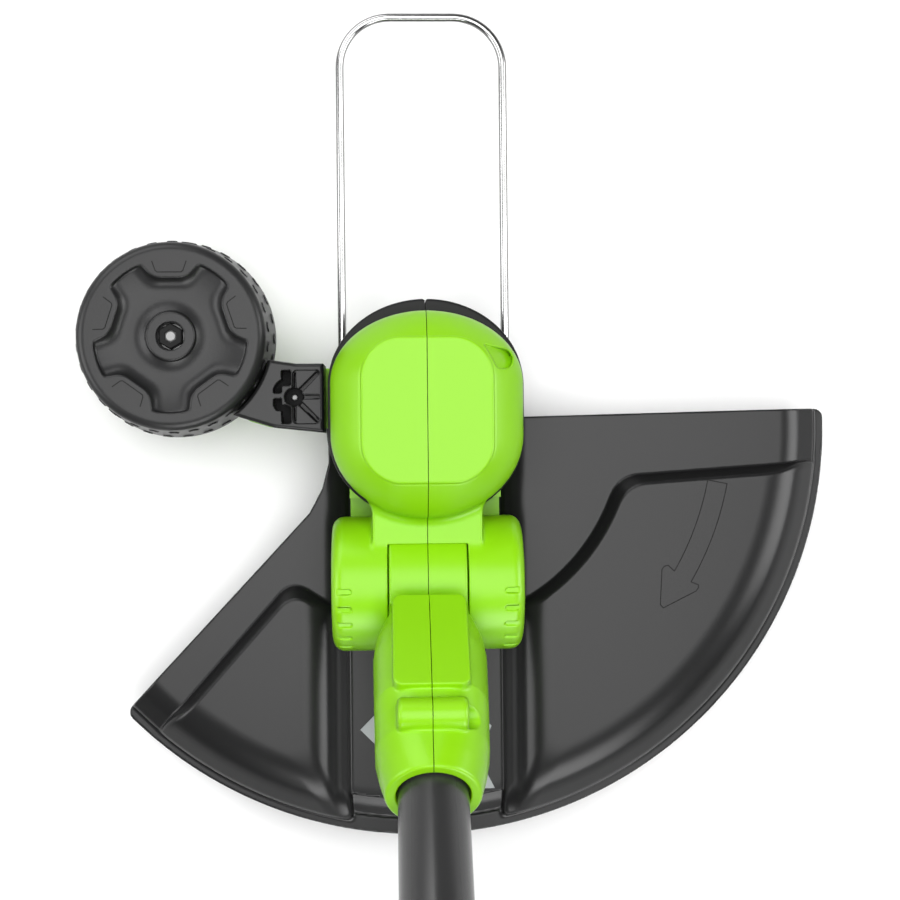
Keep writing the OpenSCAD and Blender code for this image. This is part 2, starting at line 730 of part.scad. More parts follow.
module front_handle() color(dark) on_shaft(front_handle_at, front_tilt_n) {
    for (side = [0, 1]) mirror([side, 0, 0]) {
        difference() {
            bar_x(hinge_r, clamp_half_w + gap, 27);
            bar_x(hinge_bolt_r + run, 10, 40);
        }
        difference() {
            translate([20, 2, -9]) cube([7, 26, 18]);
            bar_x(hinge_bolt_r + run, 10, 40);
        }
        hull() {
            translate(arm_root) sphere(r = 9, $fn = 24);
            translate(arm_elbow) sphere(r = 10, $fn = 24);
        }
        hull() {
            translate(arm_elbow) sphere(r = 10, $fn = 24);
            translate(arm_shoulder) sphere(r = 10, $fn = 24);
        }
        hull() {
            translate(arm_shoulder) sphere(r = 10, $fn = 24);
            translate([46, grip_n, 0]) sphere(r = 10, $fn = 24);
        }
    }
    translate([0, grip_n, 0]) bar_x(grip_bar_r, -46, 46);
}
grip_n = 124;

module front_grip() color("black") on_shaft(front_handle_at, front_tilt_n)
    translate([0, grip_n, 0]) difference() {
        bar_x(12.5, -35.5, 35.5);
        bar_x(grip_bar_r + fit, -40, 40);
    }

module clamp_bolt() color(steel) on_shaft(front_handle_at, front_tilt_n) {
    bar_x(hinge_bolt_r, -31, 30);
    bar_x(2 * hinge_bolt_r, -31, -27.2);
}

module clamp_knob() color(green) on_shaft(front_handle_at, front_tilt_n) difference() {
    union() {
        bar_x(knob_r, 31, 44);
        bar_x(9, 27.4, 32);
    }
    for (a = [0 : 60 : 300]) rotate([a, 0, 0]) translate([0, knob_r + 2.5, 0]) bar_x(5, 30, 45);
    bar_x(hinge_bolt_r + run, 20, 36);
}

// ---- Rear handle, drawn as a side profile and extruded across ----
module side_profile(h0, h1) on_shaft() rotate([90, 0, 90])
    translate([0, 0, h0]) linear_extrude(h1 - h0) children();

module loop_profile() {
    translate([-22, grip_start]) square([44, 44]);
    translate([-17, grip_start + 40]) square([38, 110]);
    translate([handle_low, grip_start + 22]) square([50, 24]);
    translate([handle_low, grip_start + 34]) square([14, 116]);
}

module dock_profile() translate([handle_low, grip_end])
    square([dock_high - handle_low, dock_end - grip_end]);

// Rail that the battery slides on, grown by the clearance for the groove that takes it
module battery_rail(clear) {
    translate([rail_x - clear, rail_low - 2 * clear, -1]) cube([4 + 2 * clear, rail_len + 3 * clear, 8]);
    translate([rail_x - clear, rail_low - 2 * clear, 4 - clear])
        cube([8 + 2 * clear, rail_len + 3 * clear, 3 + 2 * clear]);
}

module rear_handle(side) mirror([side < 0 ? 1 : 0, 0, 0]) difference() {
    union() {
        side_profile(0, grip_half_w) loop_profile();
        side_profile(0, dock_half_w) dock_profile();
        on_shaft(dock_end) battery_rail(0);
    }
    on_shaft(grip_start - 1) cylinder(r = upper_out + 0.01, h = 52);
    side_profile(-1, dock_half_w - 3)
        translate([handle_low + 3, grip_end + 3]) square([dock_high - handle_low - 6, dock_end - grip_end - 6]);
    on_shaft() translate([0, trigger_n, trigger_s]) bar_x(trigger_pin_r + 0.01, -1, 12);
    side_profile(-1, 10) translate([-13, grip_start + 55]) square([28, 90]);
    side_profile(-1, 7) translate([-30, grip_start + 58]) square([20, 60]);
    side_profile(-1, 6) translate([10, grip_start + 62]) square([20, 34]);
    for (p = handle_screw_spots) on_shaft(p[1], p[0]) {
        bar_x(case_screw_r + fit, -1, side > 0 ? 16 : 12);
        if (side > 0) bar_x(counterbore_r, 15.4, 20);
    }
    side_profile(-1, 13) translate([-28, dock_end - 4]) square([18, 6]);
}
handle_screw_spots = [
    [-19, grip_start + 30], [18.3, grip_start + 30], [-60, grip_start + 38], [-60, grip_end - 5], [18, grip_end - 6]
];

module rear_handle_left() color(green) rear_handle(-1);
module rear_handle_right() color(green) rear_handle(1);

module handle_screws() color(steel) for (p = handle_screw_spots)
    on_shaft(p[1], p[0]) screw_x(case_screw_r, -10, 15.4, 3, 1.5);

module power_switch() color("black") on_shaft(grip_start + 121) translate([-8, -11, 0]) cube([16, 20, 22]);

module controller_board() color("darkgreen") on_shaft(grip_end + 14) {
    translate([-28, -56, 0]) cube([56, 82, 1.6]);
    translate([-20, -46, 1.6]) cube([40, 30, 12]);
    for (x = [-14, 6]) translate([x, 4, 1.6]) cube([9, 9, 20]);
}

module terminal_block() color("black") on_shaft(dock_end - 3) {
    translate([-16, -40, -8]) cube([32, 46, 8]);
    for (x = [-10 : 6.6 : 10]) translate([x - 0.5, -26, -1]) cube([1, 14, 12]);
}

module trigger() color(dark) on_shaft() difference() {
    union() {
        translate([0, trigger_n, trigger_s]) bar_x(4, -6.5, 6.5);
        translate([-6.5, -27, trigger_s - 2]) cube([13, 17, 50]);
    }
    translate([0, trigger_n, trigger_s]) bar_x(trigger_pin_r + run, -10, 10);
    translate([0, trigger_n - 22, trigger_s + 24]) bar_x(10, -12, 12);
}

module trigger_pin() color(steel) on_shaft() translate([0, trigger_n, trigger_s])
    bar_x(trigger_pin_r, -11.9, 11.9);

module lock_off_button() color(green) on_shaft(grip_start + 64) {
    translate([-5.6, 16, 0]) cube([11.2, 9, 30]);
}

module battery() color(dark) on_shaft(dock_end) difference() {
    translate([-38, handle_low - 2, gap]) cube([76, dock_high - handle_low + 4, battery_len]);
    for (side = [0, 1]) mirror([side, 0, 0]) {
        battery_rail(gap);
        translate([0, -rail_len / 2, 0]) battery_rail(gap);
    }
    translate([-14, handle_low - 10, 0]) cube([28, 74, 16]);
    translate([-12.5, dock_high - 14, 24]) cube([25, 20, 26]);
}

module battery_latch() color(green) on_shaft(dock_end) translate([-12, dock_high - 9.4, 24.5])
    cube([24, 13.4, 25]);

motor_housing_left();
motor_housing_right();
pivot_yoke_left();
pivot_yoke_right();
bumper_left();
bumper_right();
housing_base();
housing_screws();
motor_can();
motor_bearing();
guard();
guard_screws();
line_blade();
label_plate();
wheel_bracket();
wheel_arm();
arm_screws();
axle_bolt();
axle_sleeve();
axle_nut();
pivot_bolt();
pivot_nut();
pivot_button();
pivot_spring();
motor_shaft();
spool_housing();
spool_cover();
line_reel();
eyelets();
cutting_line();
bump_cap();
bump_spring();
wheel_hub();
wheel_tyre();
plant_guard_wire();
coupling_left();
coupling_right();
coupling_screws();
lower_tube();
shaft_cable();
lock_collar();
lock_lever();
lever_pin();
upper_tube();
front_handle_clamp();
front_handle();
front_grip();
clamp_knob();
clamp_bolt();
rear_handle_left();
rear_handle_right();
handle_screws();
power_switch();
controller_board();
terminal_block();
trigger();
trigger_pin();
lock_off_button();
battery();
battery_latch();
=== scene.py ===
"""Looks for the cordless string trimmer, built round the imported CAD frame.

Lengths are in millimetres until a mesh is made, and the frame is the CAD's: the origin is the bottom centre
of the bump cap, +Y points away from the user and +Z up. Most moulded parts are signed distance functions,
turned into meshes by surface nets. Such a function takes an array of points and gives a distance for each.
Parts on the shaft are drawn in its own axes: x across, n towards its upper side, s along it from the pivot.
"""
import json
import math
import bmesh
import bpy
import numpy as np
from mathutils import Matrix, Vector

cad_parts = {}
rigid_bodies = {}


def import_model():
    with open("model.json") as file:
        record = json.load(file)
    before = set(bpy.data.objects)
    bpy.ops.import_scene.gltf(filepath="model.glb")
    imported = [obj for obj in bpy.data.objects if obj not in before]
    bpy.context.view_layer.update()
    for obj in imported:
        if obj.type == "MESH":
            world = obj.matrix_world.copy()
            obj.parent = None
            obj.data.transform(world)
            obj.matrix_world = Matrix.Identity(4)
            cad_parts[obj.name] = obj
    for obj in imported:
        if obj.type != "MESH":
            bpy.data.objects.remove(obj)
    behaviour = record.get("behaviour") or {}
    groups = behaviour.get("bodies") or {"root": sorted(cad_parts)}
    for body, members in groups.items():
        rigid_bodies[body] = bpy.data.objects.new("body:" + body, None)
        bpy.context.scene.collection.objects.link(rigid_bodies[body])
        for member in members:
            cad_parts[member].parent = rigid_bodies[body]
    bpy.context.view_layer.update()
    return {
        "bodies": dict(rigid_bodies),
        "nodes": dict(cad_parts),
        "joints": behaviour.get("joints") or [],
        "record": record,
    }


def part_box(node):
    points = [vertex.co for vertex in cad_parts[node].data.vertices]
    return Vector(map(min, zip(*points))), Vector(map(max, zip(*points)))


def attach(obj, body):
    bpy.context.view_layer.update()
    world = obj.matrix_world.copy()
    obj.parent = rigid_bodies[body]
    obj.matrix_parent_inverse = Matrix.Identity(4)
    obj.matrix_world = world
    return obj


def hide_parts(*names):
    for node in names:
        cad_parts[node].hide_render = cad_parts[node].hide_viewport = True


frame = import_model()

MM = 0.001
FAR = 99.0  # a distance that never wins in a minimum
NEVER = -9  # and one that never wins in a maximum


def node_box(name):
    """Lowest and highest corner of a CAD node, in millimetres."""
    low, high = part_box(name)
    return np.array(low) / MM, np.array(high) / MM


# ---------------------------------------------------------------- driving sizes, from the frame
SHAFT_ANGLE = math.radians(49.3)
DOME_TOP = node_box("motor_housing_left")[1][2]
DOME_RIM = node_box("motor_housing_left")[0][2]
DOME_HALF_W = -node_box("motor_housing_left")[0][0] - 0.75
DOME_FRONT = 16.0
DOME_FRONT_LEN = node_box("motor_housing_left")[1][1] - DOME_FRONT - 0.7
DOME_BACK = -3.0
DOME_BACK_LEN = 31.0
EAR_HALF_W = node_box("pivot_yoke_right")[1][0]
PIVOT_Y, PIVOT_Z = -60.5, 68.0
DRUM_R = 26.0
KNUCKLE_HALF_W = 14.8
GUARD_CX = -1.6
SEAM = 0.14
LINE_ABOVE, LINE_WIDTH, PATCH_THICK = 0.02, 0.4, 0.4  # engraved lines and pocket floors are thin pieces, near-black strips and plates of painted shade


# ---------------------------------------------------------------- distance functions
def smooth_min(a, b, k):
    """Union of two distances, blended over a width k."""
    h = np.clip(0.5 + 0.5 * (b - a) / k, 0, 1)
    return b + (a - b) * h - k * h * (1 - h)


def smooth_max(a, b, k):
    """Intersection of two distances, blended over a width k."""
    return -smooth_min(-a, -b, k)


def round_join(a, b, r):
    """Corner of two distances, rounded outward with radius r."""
    a, b = a + r, b + r
    return np.hypot(np.maximum(a, 0), np.maximum(b, 0)) + np.minimum(np.maximum(a, b), 0) - r


def ellipse(u, v, ru, rv):
    """Approximate distance to an ellipse with half axes ru and rv."""
    k0 = np.hypot(u / ru, v / rv)
    k1 = np.hypot(u / ru ** 2, v / rv ** 2)
    return k0 * (k0 - 1) / np.maximum(k1, 1e-6)


def box2(u, v, hu, hv, r=0.0):
    """Rectangle with half sides hu and hv and corner radius r."""
    return round_join(np.abs(u) - hu, np.abs(v) - hv, r)


def polygon2(u, v, points):
    """Signed distance to a closed polygon."""
    pts = np.array(points, float)
    best = np.full(u.shape, 1e18)
    inside = np.zeros(u.shape, bool)
    for (ax, ay), (bx, by) in zip(pts, np.roll(pts, -1, 0)):
        ex, ey = bx - ax, by - ay
        t = np.clip(((u - ax) * ex + (v - ay) * ey) / (ex * ex + ey * ey), 0, 1)
        best = np.minimum(best, (u - ax - t * ex) ** 2 + (v - ay - t * ey) ** 2)
        if ey:
            crosses = (ay > v) != (by > v)
            inside ^= crosses & (u < ax + (v - ay) * ex / ey)
    return np.where(inside, -1, 1) * np.sqrt(best)


def slab(w, low, high):
    """Distance to the layer between two levels."""
    return np.abs(w - (low + high) / 2) - (high - low) / 2


def turned(x, y, degrees):
    """Coordinates in axes whose v points at an angle: across it and along it."""
    a = math.radians(degrees)
    return -x * math.sin(a) + y * math.cos(a), x * math.cos(a) + y * math.sin(a)


def shaft_coords(p):
    """x, s and n of points: across, along the shaft from the pivot, and towards its upper side."""
    dy, dz = p[:, 1] - PIVOT_Y, p[:, 2] - PIVOT_Z
    c, s = math.cos(SHAFT_ANGLE), math.sin(SHAFT_ANGLE)
    return p[:, 0], -c * dy + s * dz, s * dy + c * dz


def on_shaft(s):
    """The point on the shaft's axis s millimetres from the pivot."""
    return np.array([0.0, PIVOT_Y - math.cos(SHAFT_ANGLE) * s, PIVOT_Z + math.sin(SHAFT_ANGLE) * s])


# ---------------------------------------------------------------- surface nets
NEAR_SURFACE = 1.15  # blocks whose centre is nearer than this many block lengths are sampled finely
BATCH = 1500  # blocks sampled at a time


def field_on_grid(f, low, high, h, block=8):
    """Samples f on a grid, finely near its surface and coarsely elsewhere."""
    low = np.array(low, float)
    cells = (np.ceil((np.array(high) - low) / h / block).astype(int)) * block
    centres = [low[i] + (np.arange(cells[i] // block) + 0.5) * block * h for i in range(3)]
    c = np.stack(np.meshgrid(*centres, indexing="ij"), -1)
    coarse = f(c.reshape(-1, 3)).reshape(c.shape[:3])
    values = np.repeat(np.repeat(np.repeat(coarse, block, 0), block, 1), block, 2)
    values = np.pad(values, ((0, 1),) * 3, "edge").astype(np.float32)
    near = np.argwhere(np.abs(coarse) < block * h * NEAR_SURFACE)
    offsets = np.stack(np.meshgrid(*[np.arange(block + 1)] * 3, indexing="ij"), -1).reshape(-1, 3)
    for some in np.array_split(near, max(1, len(near) // BATCH)):
        idx = (some[:, None] * block + offsets[None]).reshape(-1, 3)
        values[idx[:, 0], idx[:, 1], idx[:, 2]] = f(low + idx * h)
    return values


CORNERS = [(0, 0, 0), (1, 0, 0), (0, 1, 0), (1, 1, 0), (0, 0, 1), (1, 0, 1), (0, 1, 1), (1, 1, 1)]


def surface_net(f, low, high, h):
    """Vertices and quads of f's zero surface."""
    low = np.array(low, float)
    values = field_on_grid(f, low, high, h)
    inside = values < 0
    size = np.array(values.shape) - 1

    def corner(a, o):
        return a[o[0]:o[0] + size[0], o[1]:o[1] + size[1], o[2]:o[2] + size[2]]

    count = sum(corner(inside, o).astype(np.int8) for o in CORNERS)
    cells = np.argwhere((count > 0) & (count < 8))
    total = np.zeros((len(cells), 3))
    hits = np.zeros(len(cells))
    for i, a in enumerate(CORNERS):
        for b in CORNERS[i + 1:]:
            if sum(abs(p - q) for p, q in zip(a, b)) != 1:
                continue
            va = values[tuple((cells + a).T)].astype(float)
            vb = values[tuple((cells + b).T)].astype(float)
            cross = (va < 0) != (vb < 0)
            t = np.where(cross, va / np.where(va == vb, 1, va - vb), 0)
            total += cross[:, None] * (np.array(a) + t[:, None] * (np.array(b) - a))
            hits += cross
    verts = low + (cells + total / hits[:, None]) * h
    ids = np.full(tuple(size), -1, np.int64)
    ids[tuple(cells.T)] = np.arange(len(cells))
    quads = []
    for axis in range(3):
        other = [i for i in range(3) if i != axis]
        step = np.eye(3, dtype=int)
        here = np.take(inside, range(0, size[axis]), axis)
        there = np.take(inside, range(1, size[axis] + 1), axis)
        edges = np.argwhere(here != there)
        keep = np.all([(edges[:, o] > 0) & (edges[:, o] < size[o]) for o in other], 0)
        edges = edges[keep]
        u, v = step[other[0]], step[other[1]]
        ring = [ids[tuple((edges - d).T)] for d in (0 * u, u, u + v, v)]
        quad = np.stack(ring, 1)
        flip = here[tuple(edges.T)] ^ (axis == 1)
        quad[~flip] = quad[~flip][:, ::-1]
        quads.append(quad)
    return verts, np.vstack(quads)


def gradient(f, p, e=0.04):
    """Unit normals of f at points."""
    g = np.stack([f(p + d) - f(p - d) for d in np.eye(3) * e], 1)
    return g / np.maximum(np.linalg.norm(g, axis=1, keepdims=True), 1e-9)


def settle(f, verts, h, e=0.1):
    """Moves vertices onto the surface, except those that would go too far."""
    start = verts.copy()
    for _ in range(2):
        g = np.stack([f(verts + d) - f(verts - d) for d in np.eye(3) * e], 1) / (2 * e)
        size = np.maximum((g ** 2).sum(1), 0.3)
        verts = verts - (f(verts) / size)[:, None] * g
    move = verts - start
    far = np.linalg.norm(move, axis=1) > 0.8 * h
    verts[far] = start[far]
    return verts


# ---------------------------------------------------------------- making objects
def add_object(name, data):
    obj = bpy.data.objects.new(name, data)
    bpy.context.scene.collection.objects.link(obj)
    return obj


def finish_piece(obj, material, body, nodes=()):
    """Gives a piece its material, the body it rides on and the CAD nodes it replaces."""
    obj.data.materials.append(MATERIALS[material])
    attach(obj, body)
    if nodes:
        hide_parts(*nodes)
    return obj


def mesh_from(name, verts_mm, faces):
    """A mesh from corners in millimetres."""
    mesh = bpy.data.meshes.new(name)
    mesh.from_pydata((np.asarray(verts_mm, float) * MM).tolist(), [], [list(map(int, q)) for q in faces])
    mesh.update()
    return mesh


def with_normals(mesh, f):
    """Shades a mesh with the distance function's own normals; flat cut faces keep theirs."""
    co = np.empty(len(mesh.vertices) * 3)
    mesh.vertices.foreach_get("co", co)
    normals = gradient(f, co.reshape(-1, 3) / MM)
    mesh.shade_smooth()
    loops = np.empty(len(mesh.loops), np.int64)
    mesh.loops.foreach_get("vertex_index", loops)
    custom = normals[loops]
    for poly in mesh.polygons:
        faces_seam = abs(poly.normal.x) > 0.9999
        if faces_seam and abs(poly.center.x) < 0.0004:
            for i in poly.loop_indices:
                custom[i] = poly.normal
    mesh.normals_split_custom_set(custom.tolist())


def half_of(verts, quads, side, name):
    """The left (-1) or right (+1) half of a mesh, cut just off the seam and closed."""
    bm = bmesh.new()
    mesh = mesh_from(name, verts, quads)
    bm.from_mesh(mesh)
    cut = bmesh.ops.bisect_plane(
        bm, geom=bm.verts[:] + bm.edges[:] + bm.faces[:], dist=1e-7,
        plane_co=(side * SEAM * MM, 0, 0), plane_no=(side, 0, 0), clear_inner=True)
    edges = [g for g in cut["geom_cut"] if isinstance(g, bmesh.types.BMEdge)]
    bmesh.ops.triangle_fill(bm, use_beauty=True, use_dissolve=False, edges=edges, normal=(-side, 0, 0))
    bm.to_mesh(mesh)
    bm.free()
    mesh.update()
    return mesh


def moulded(name, f, low, high, h, material, body, nodes=(), halves=False, place=None):
    """A piece, or a left and a right piece, from a distance function in world or local axes."""
    verts, quads = surface_net(f, low, high, h)
    verts = settle(f, verts, h)
    if halves:
        parts = []
        for side, word in ((-1, "left"), (1, "right")):
            half = f"{name}_{word}"
            parts.append((half, half_of(verts, quads, side, half), [n for n in nodes if n.endswith(word)]))
    else:
        parts = [(name, mesh_from(name, verts, quads), nodes)]
    for part, mesh, replaced in parts:
        with_normals(mesh, f)
        if place is not None:
            mesh.transform(place)
        finish_piece(add_object(part, mesh), material, body, replaced)


def lathe(name, profile, material, body, place=None, nodes=(), steps=96):
    """Turns an outline of (radius, height) round Z, then places it."""
    steps = steps
    verts, faces = [], []
    for r, z in profile:
        for i in range(steps):
            a = 2 * math.pi * i / steps
            verts.append((r * math.cos(a), r * math.sin(a), z))
    rows = len(profile)
    for j in range(rows):
        k = (j + 1) % rows
        for i in range(steps):
            n = (i + 1) % steps
            faces.append((j * steps + i, j * steps + n, k * steps + n, k * steps + i))
    mesh = mesh_from(name, verts, faces)
    if place is not None:
        mesh.transform(place)
    smooth_by_angle(mesh, 35)
    finish_piece(add_object(name, mesh), material, body, nodes)


def smooth_by_angle(mesh, degrees):
    """Smooth shading, with sharp edges where faces meet at more than an angle."""
    mesh.shade_smooth()
    bm = bmesh.new()
    bm.from_mesh(mesh)
    bmesh.ops.recalc_face_normals(bm, faces=bm.faces)
    for e in bm.edges:
        e.smooth = len(e.link_faces) == 2 and e.calc_face_angle(0) < math.radians(degrees)
    bm.to_mesh(mesh)
    bm.free()


def shaft_matrix(s=0.0):
    """Places a lathe's Z along the shaft, starting s millimetres from the pivot."""
    o = on_shaft(s) * MM
    return Matrix.Translation(o) @ Matrix.Rotation(math.pi / 2 - SHAFT_ANGLE, 4, "X")


def tube_profile(r_in, r_out, length, bevel=0.5):
    outer = [(r_out - bevel, 0), (r_out, bevel), (r_out, length - bevel), (r_out - bevel, length)]
    return [(r_in, 0), *outer, (r_in, length)]


# ---------------------------------------------------------------- materials
ROUGH_SPREAD = 0.03
GRAIN_DEPTH = 0.0001  # metres


def plain(name, color, rough, metallic=0.0, grain=0.0, grain_scale=900, specular=0.5):
    """One colour with a slightly uneven roughness, and with a fine grain if asked."""
    mat = bpy.data.materials.new(name)
    mat.use_nodes = True
    nodes, links = mat.node_tree.nodes, mat.node_tree.links
    shader = nodes["Principled BSDF"]
    shader.inputs["Base Color"].default_value = (*color, 1)
    shader.inputs["Metallic"].default_value = metallic
    shader.inputs["Specular IOR Level"].default_value = specular
    coords = nodes.new("ShaderNodeTexCoord")
    noise = nodes.new("ShaderNodeTexNoise")
    noise.inputs["Scale"].default_value = grain_scale
    noise.inputs["Detail"].default_value = 2
    links.new(coords.outputs["Object"], noise.inputs["Vector"])
    spread = nodes.new("ShaderNodeMapRange")
    spread.inputs["To Min"].default_value = rough - ROUGH_SPREAD
    spread.inputs["To Max"].default_value = rough + ROUGH_SPREAD
    links.new(noise.outputs["Fac"], spread.inputs["Value"])
    links.new(spread.outputs["Result"], shader.inputs["Roughness"])
    if grain:
        bump = nodes.new("ShaderNodeBump")
        bump.inputs["Strength"].default_value = grain
        bump.inputs["Distance"].default_value = GRAIN_DEPTH
        links.new(noise.outputs["Fac"], bump.inputs["Height"])
        links.new(bump.outputs["Normal"], shader.inputs["Normal"])
    return mat


MATERIALS = {
    "green": plain("green_plastic", (0.22, 0.54, 0.003), 0.32, specular=0.19),
    "dark": plain("dark_plastic", (0.010, 0.010, 0.0103), 0.3, specular=0.175),
    "ring": plain("ring_plastic", (0.009, 0.009, 0.0093), 0.4, specular=0.09),
    # painted shade: near-black that stands for the shade in the engraved grooves and the arm's pockets; it
    # is also the dark axle nut's own colour
    "groove": plain("painted_shade_and_nut_black", (0.006, 0.006, 0.006), 0.6, specular=0.1),
    "wheel": plain("wheel_plastic", (0.016, 0.016, 0.0165), 0.36, grain=0.3, specular=0.18),
    "tube": plain("tube_paint", (0.022, 0.022, 0.0225), 0.25, specular=0.5),
    "steel": plain("zinc_steel", (0.35, 0.35, 0.36), 0.35, metallic=1.0),
    "dull": plain("dull_zinc", (0.2, 0.2, 0.2), 0.5, metallic=0.3),
    "wire": plain("polished_wire", (0.24, 0.24, 0.24), 0.2, metallic=1.0),
    "label": plain("label_film", (0.36, 0.38, 0.39), 0.5, specular=0.2),
    "reel": plain("reel_plastic", (0.7, 0.2, 0.03), 0.4),
    "line": plain("nylon_line", (0.4, 0.55, 0.04), 0.3),
    "black": plain("black_plastic", (0.01, 0.01, 0.01), 0.42, specular=0.3),
    "board": plain("circuit_board", (0.02, 0.14, 0.05), 0.35),
    "grip": plain("grip_rubber", (0.018, 0.018, 0.018), 0.7, grain=0.4, grain_scale=500, specular=0.3),
}
# the slot of the record that each material stands for; the first one with a slot also dresses its CAD nodes
SLOTS = {
    "green": "green_plastic", "dark": "dark_plastic", "ring": "dark_plastic", "wheel": "dark_plastic",
    "groove": "dark_plastic", "dull": "steel", "tube": "tube_paint", "steel": "steel",
    "wire": "polished_wire", "label": "label", "reel": "reel_plastic", "line": "nylon_line",
    "black": "black_plastic", "board": "circuit_board", "grip": "grip_rubber"}
BLACK_SCREWS = {"guard_screws": "black", "arm_screws": "black", "coupling_screws": "black"}


def dress_cad_nodes():
    """Every CAD node gets the material of its slot in the record."""
    by_slot = {slot: key for key, slot in reversed(list(SLOTS.items()))}
    for part in frame["record"]["subparts"]:
        obj = frame["nodes"][part["node"]]
        obj.data.materials.clear()
        key = BLACK_SCREWS.get(part["node"]) or by_slot[part["material_slot"]]
        obj.data.materials.append(MATERIALS[key])


# ---------------------------------------------------------------- motor housing
PANEL_Y, PANEL_HALF = 5.85, (24.3, 26.85)
SHOULDER_Z, SHOULDER_H, SHOULDER_POWER = 97.0, 14.3, 1.55
POCKET_TIP, POCKET_END, POCKET_R, POCKET_DEEP = (21.4, 29.2), (27.7, 24.6), 3.9, 1.6
EAR_SLOTS, EAR_SLOT_FIRST, EAR_SLOT_STEP, EAR_SLOT_DEEP = 5, 92.4, 15.2, 0.7
NECK_HALF_W, NECK_TOP, NECK_LOW, NECK_BACK, NECK_FRONT = 20.8, 89, 46, -62.5, -26.5
BUTTON_HOLE_R, NUT_HOLE_R, DRUM_GAP = 10.1, 8.5, 0.45
RING_LOW = 50


def dome_plan(x, y, grow=0.0, nose=0.0):
    """Outline of the dome from above: half ellipses at the front and back of straight sides."""
    v = np.where(y > DOME_FRONT, y - DOME_FRONT, np.where(y < DOME_BACK, DOME_BACK - y, 0))
    rv = np.where(y > DOME_FRONT, DOME_FRONT_LEN + nose, DOME_BACK_LEN)
    return ellipse(x, v, DOME_HALF_W + grow, rv + grow)


def top_panel(x, y):
    return box2(x, y - PANEL_Y, *PANEL_HALF, 15.0)


def ears(p):
    """The two round ears of the pivot, with five slots over each edge."""
    x, y, z = p.T
    rho = np.hypot(y - PIVOT_Y, z - PIVOT_Z)
    ear = round_join(rho - DRUM_R, np.abs(x) - EAR_HALF_W, 4.6)
    ear = smooth_max(ear, KNUCKLE_HALF_W + 0.35 - np.abs(x), 0.5)
    for i in range(EAR_SLOTS):
        a = math.radians(EAR_SLOT_FIRST + EAR_SLOT_STEP * i)
        sy, sz = PIVOT_Y + DRUM_R * math.cos(a), PIVOT_Z + DRUM_R * math.sin(a)
        along = -math.sin(a) * (y - sy) + math.cos(a) * (z - sz)
        deep = np.abs((y - sy) * math.cos(a) + (z - sz) * math.sin(a))
        slot = np.hypot(np.maximum(EAR_HALF_W - 6.6 - np.abs(x), 0), along) - 1.0
        ear = smooth_max(ear, -np.maximum(slot, deep - EAR_SLOT_DEEP), 0.5)
    return ear


def screw_pocket(x, y, skin):
    """Drop-shaped opening in the right front shoulder, deeper towards its round end."""
    run = (POCKET_END[0] - POCKET_TIP[0], POCKET_END[1] - POCKET_TIP[1])
    length = math.hypot(*run)
    along = ((x - POCKET_TIP[0]) * run[0] + (y - POCKET_TIP[1]) * run[1]) / length ** 2
    along = np.clip(along, 0, 1)
    off = np.hypot(x - POCKET_TIP[0] - along * run[0], y - POCKET_TIP[1] - along * run[1])
    return np.maximum(off - 0.3 - (POCKET_R - 0.3) * along, -skin - 0.5 - POCKET_DEEP * along)


def housing(p):
    """Dome, raised top panel, neck and ears in one, later cut into a left and a right shell."""
    x, y, z = p.T
    plan, panel = dome_plan(x, y), top_panel(x, y)
    t = np.clip((z - SHOULDER_Z) / SHOULDER_H, 0, 1)
    s = t ** SHOULDER_POWER
    slope = (panel - plan) * SHOULDER_POWER * t ** (SHOULDER_POWER - 1) / SHOULDER_H
    d = ((1 - s) * plan + s * panel) / np.sqrt(1 + slope ** 2)
    top_z = DOME_TOP - 0.78
    d = smooth_max(d, z - top_z, 0.5)
    raised = np.maximum(round_join(panel, z - DOME_TOP, 1.0), top_z - 3 - z)
    d = smooth_min(d, raised, 0.3)
    d = smooth_max(d, DOME_RIM + 0.15 - z, 0.8)
    d = smooth_max(d, -screw_pocket(x, y, d), 0.7)
    neck = round_join(np.abs(x) - NECK_HALF_W, z - NECK_TOP, 1.0)
    neck = np.maximum(neck, np.maximum(slab(y, NECK_BACK, NECK_FRONT), NECK_LOW - z))
    wide = smooth_min(neck, ears(p), 1.6)
    rho = np.hypot(y - PIVOT_Y, z - PIVOT_Z)
    knuckle_room = np.maximum(rho - DRUM_R - DRUM_GAP, np.abs(x) - KNUCKLE_HALF_W - 0.35)
    wide = smooth_max(wide, -knuckle_room, 0.4)
    d = smooth_min(d, wide, 4.5)
    button_hole = np.maximum(rho - BUTTON_HOLE_R, x + 23)
    nut_hole = np.maximum(rho - NUT_HOLE_R, 27 - x)
    return smooth_max(d, -np.minimum(button_hole, nut_hole), 0.5)


def ring(p):
    """Black bumper round the lower part of the dome, thicker at the front, with a notch at the seam."""
    x, y, z = p.T
    front = np.clip((y - 14.0) / 12, 0, 1)
    outer = round_join(dome_plan(x, y, 1.5, 4.2 * front), slab(z, RING_LOW, DOME_RIM - 0.15), 1.0)
    outer = smooth_max(outer, -box2(x, y + 48, 21.1, 22.2, 0), 0.6)
    a = (np.abs(x) - y + DOME_FRONT + DOME_FRONT_LEN + 4.9) / math.sqrt(2)
    notch = np.maximum(a, np.abs(x) - 1.2)
    return smooth_max(outer, -notch, 0.3)


def build_head():
    shells = ["motor_housing_left", "motor_housing_right", "pivot_yoke_left", "pivot_yoke_right"]
    moulded("housing", housing, (-38.5, -88, 40), (38.5, 46, 113), 0.62, "green", "head", shells, True)
    bumpers = ["bumper_left", "bumper_right"]
    moulded("ring", ring, (-40, -37, 48), (40, 51, 85), 0.62, "ring", "head", bumpers, True)


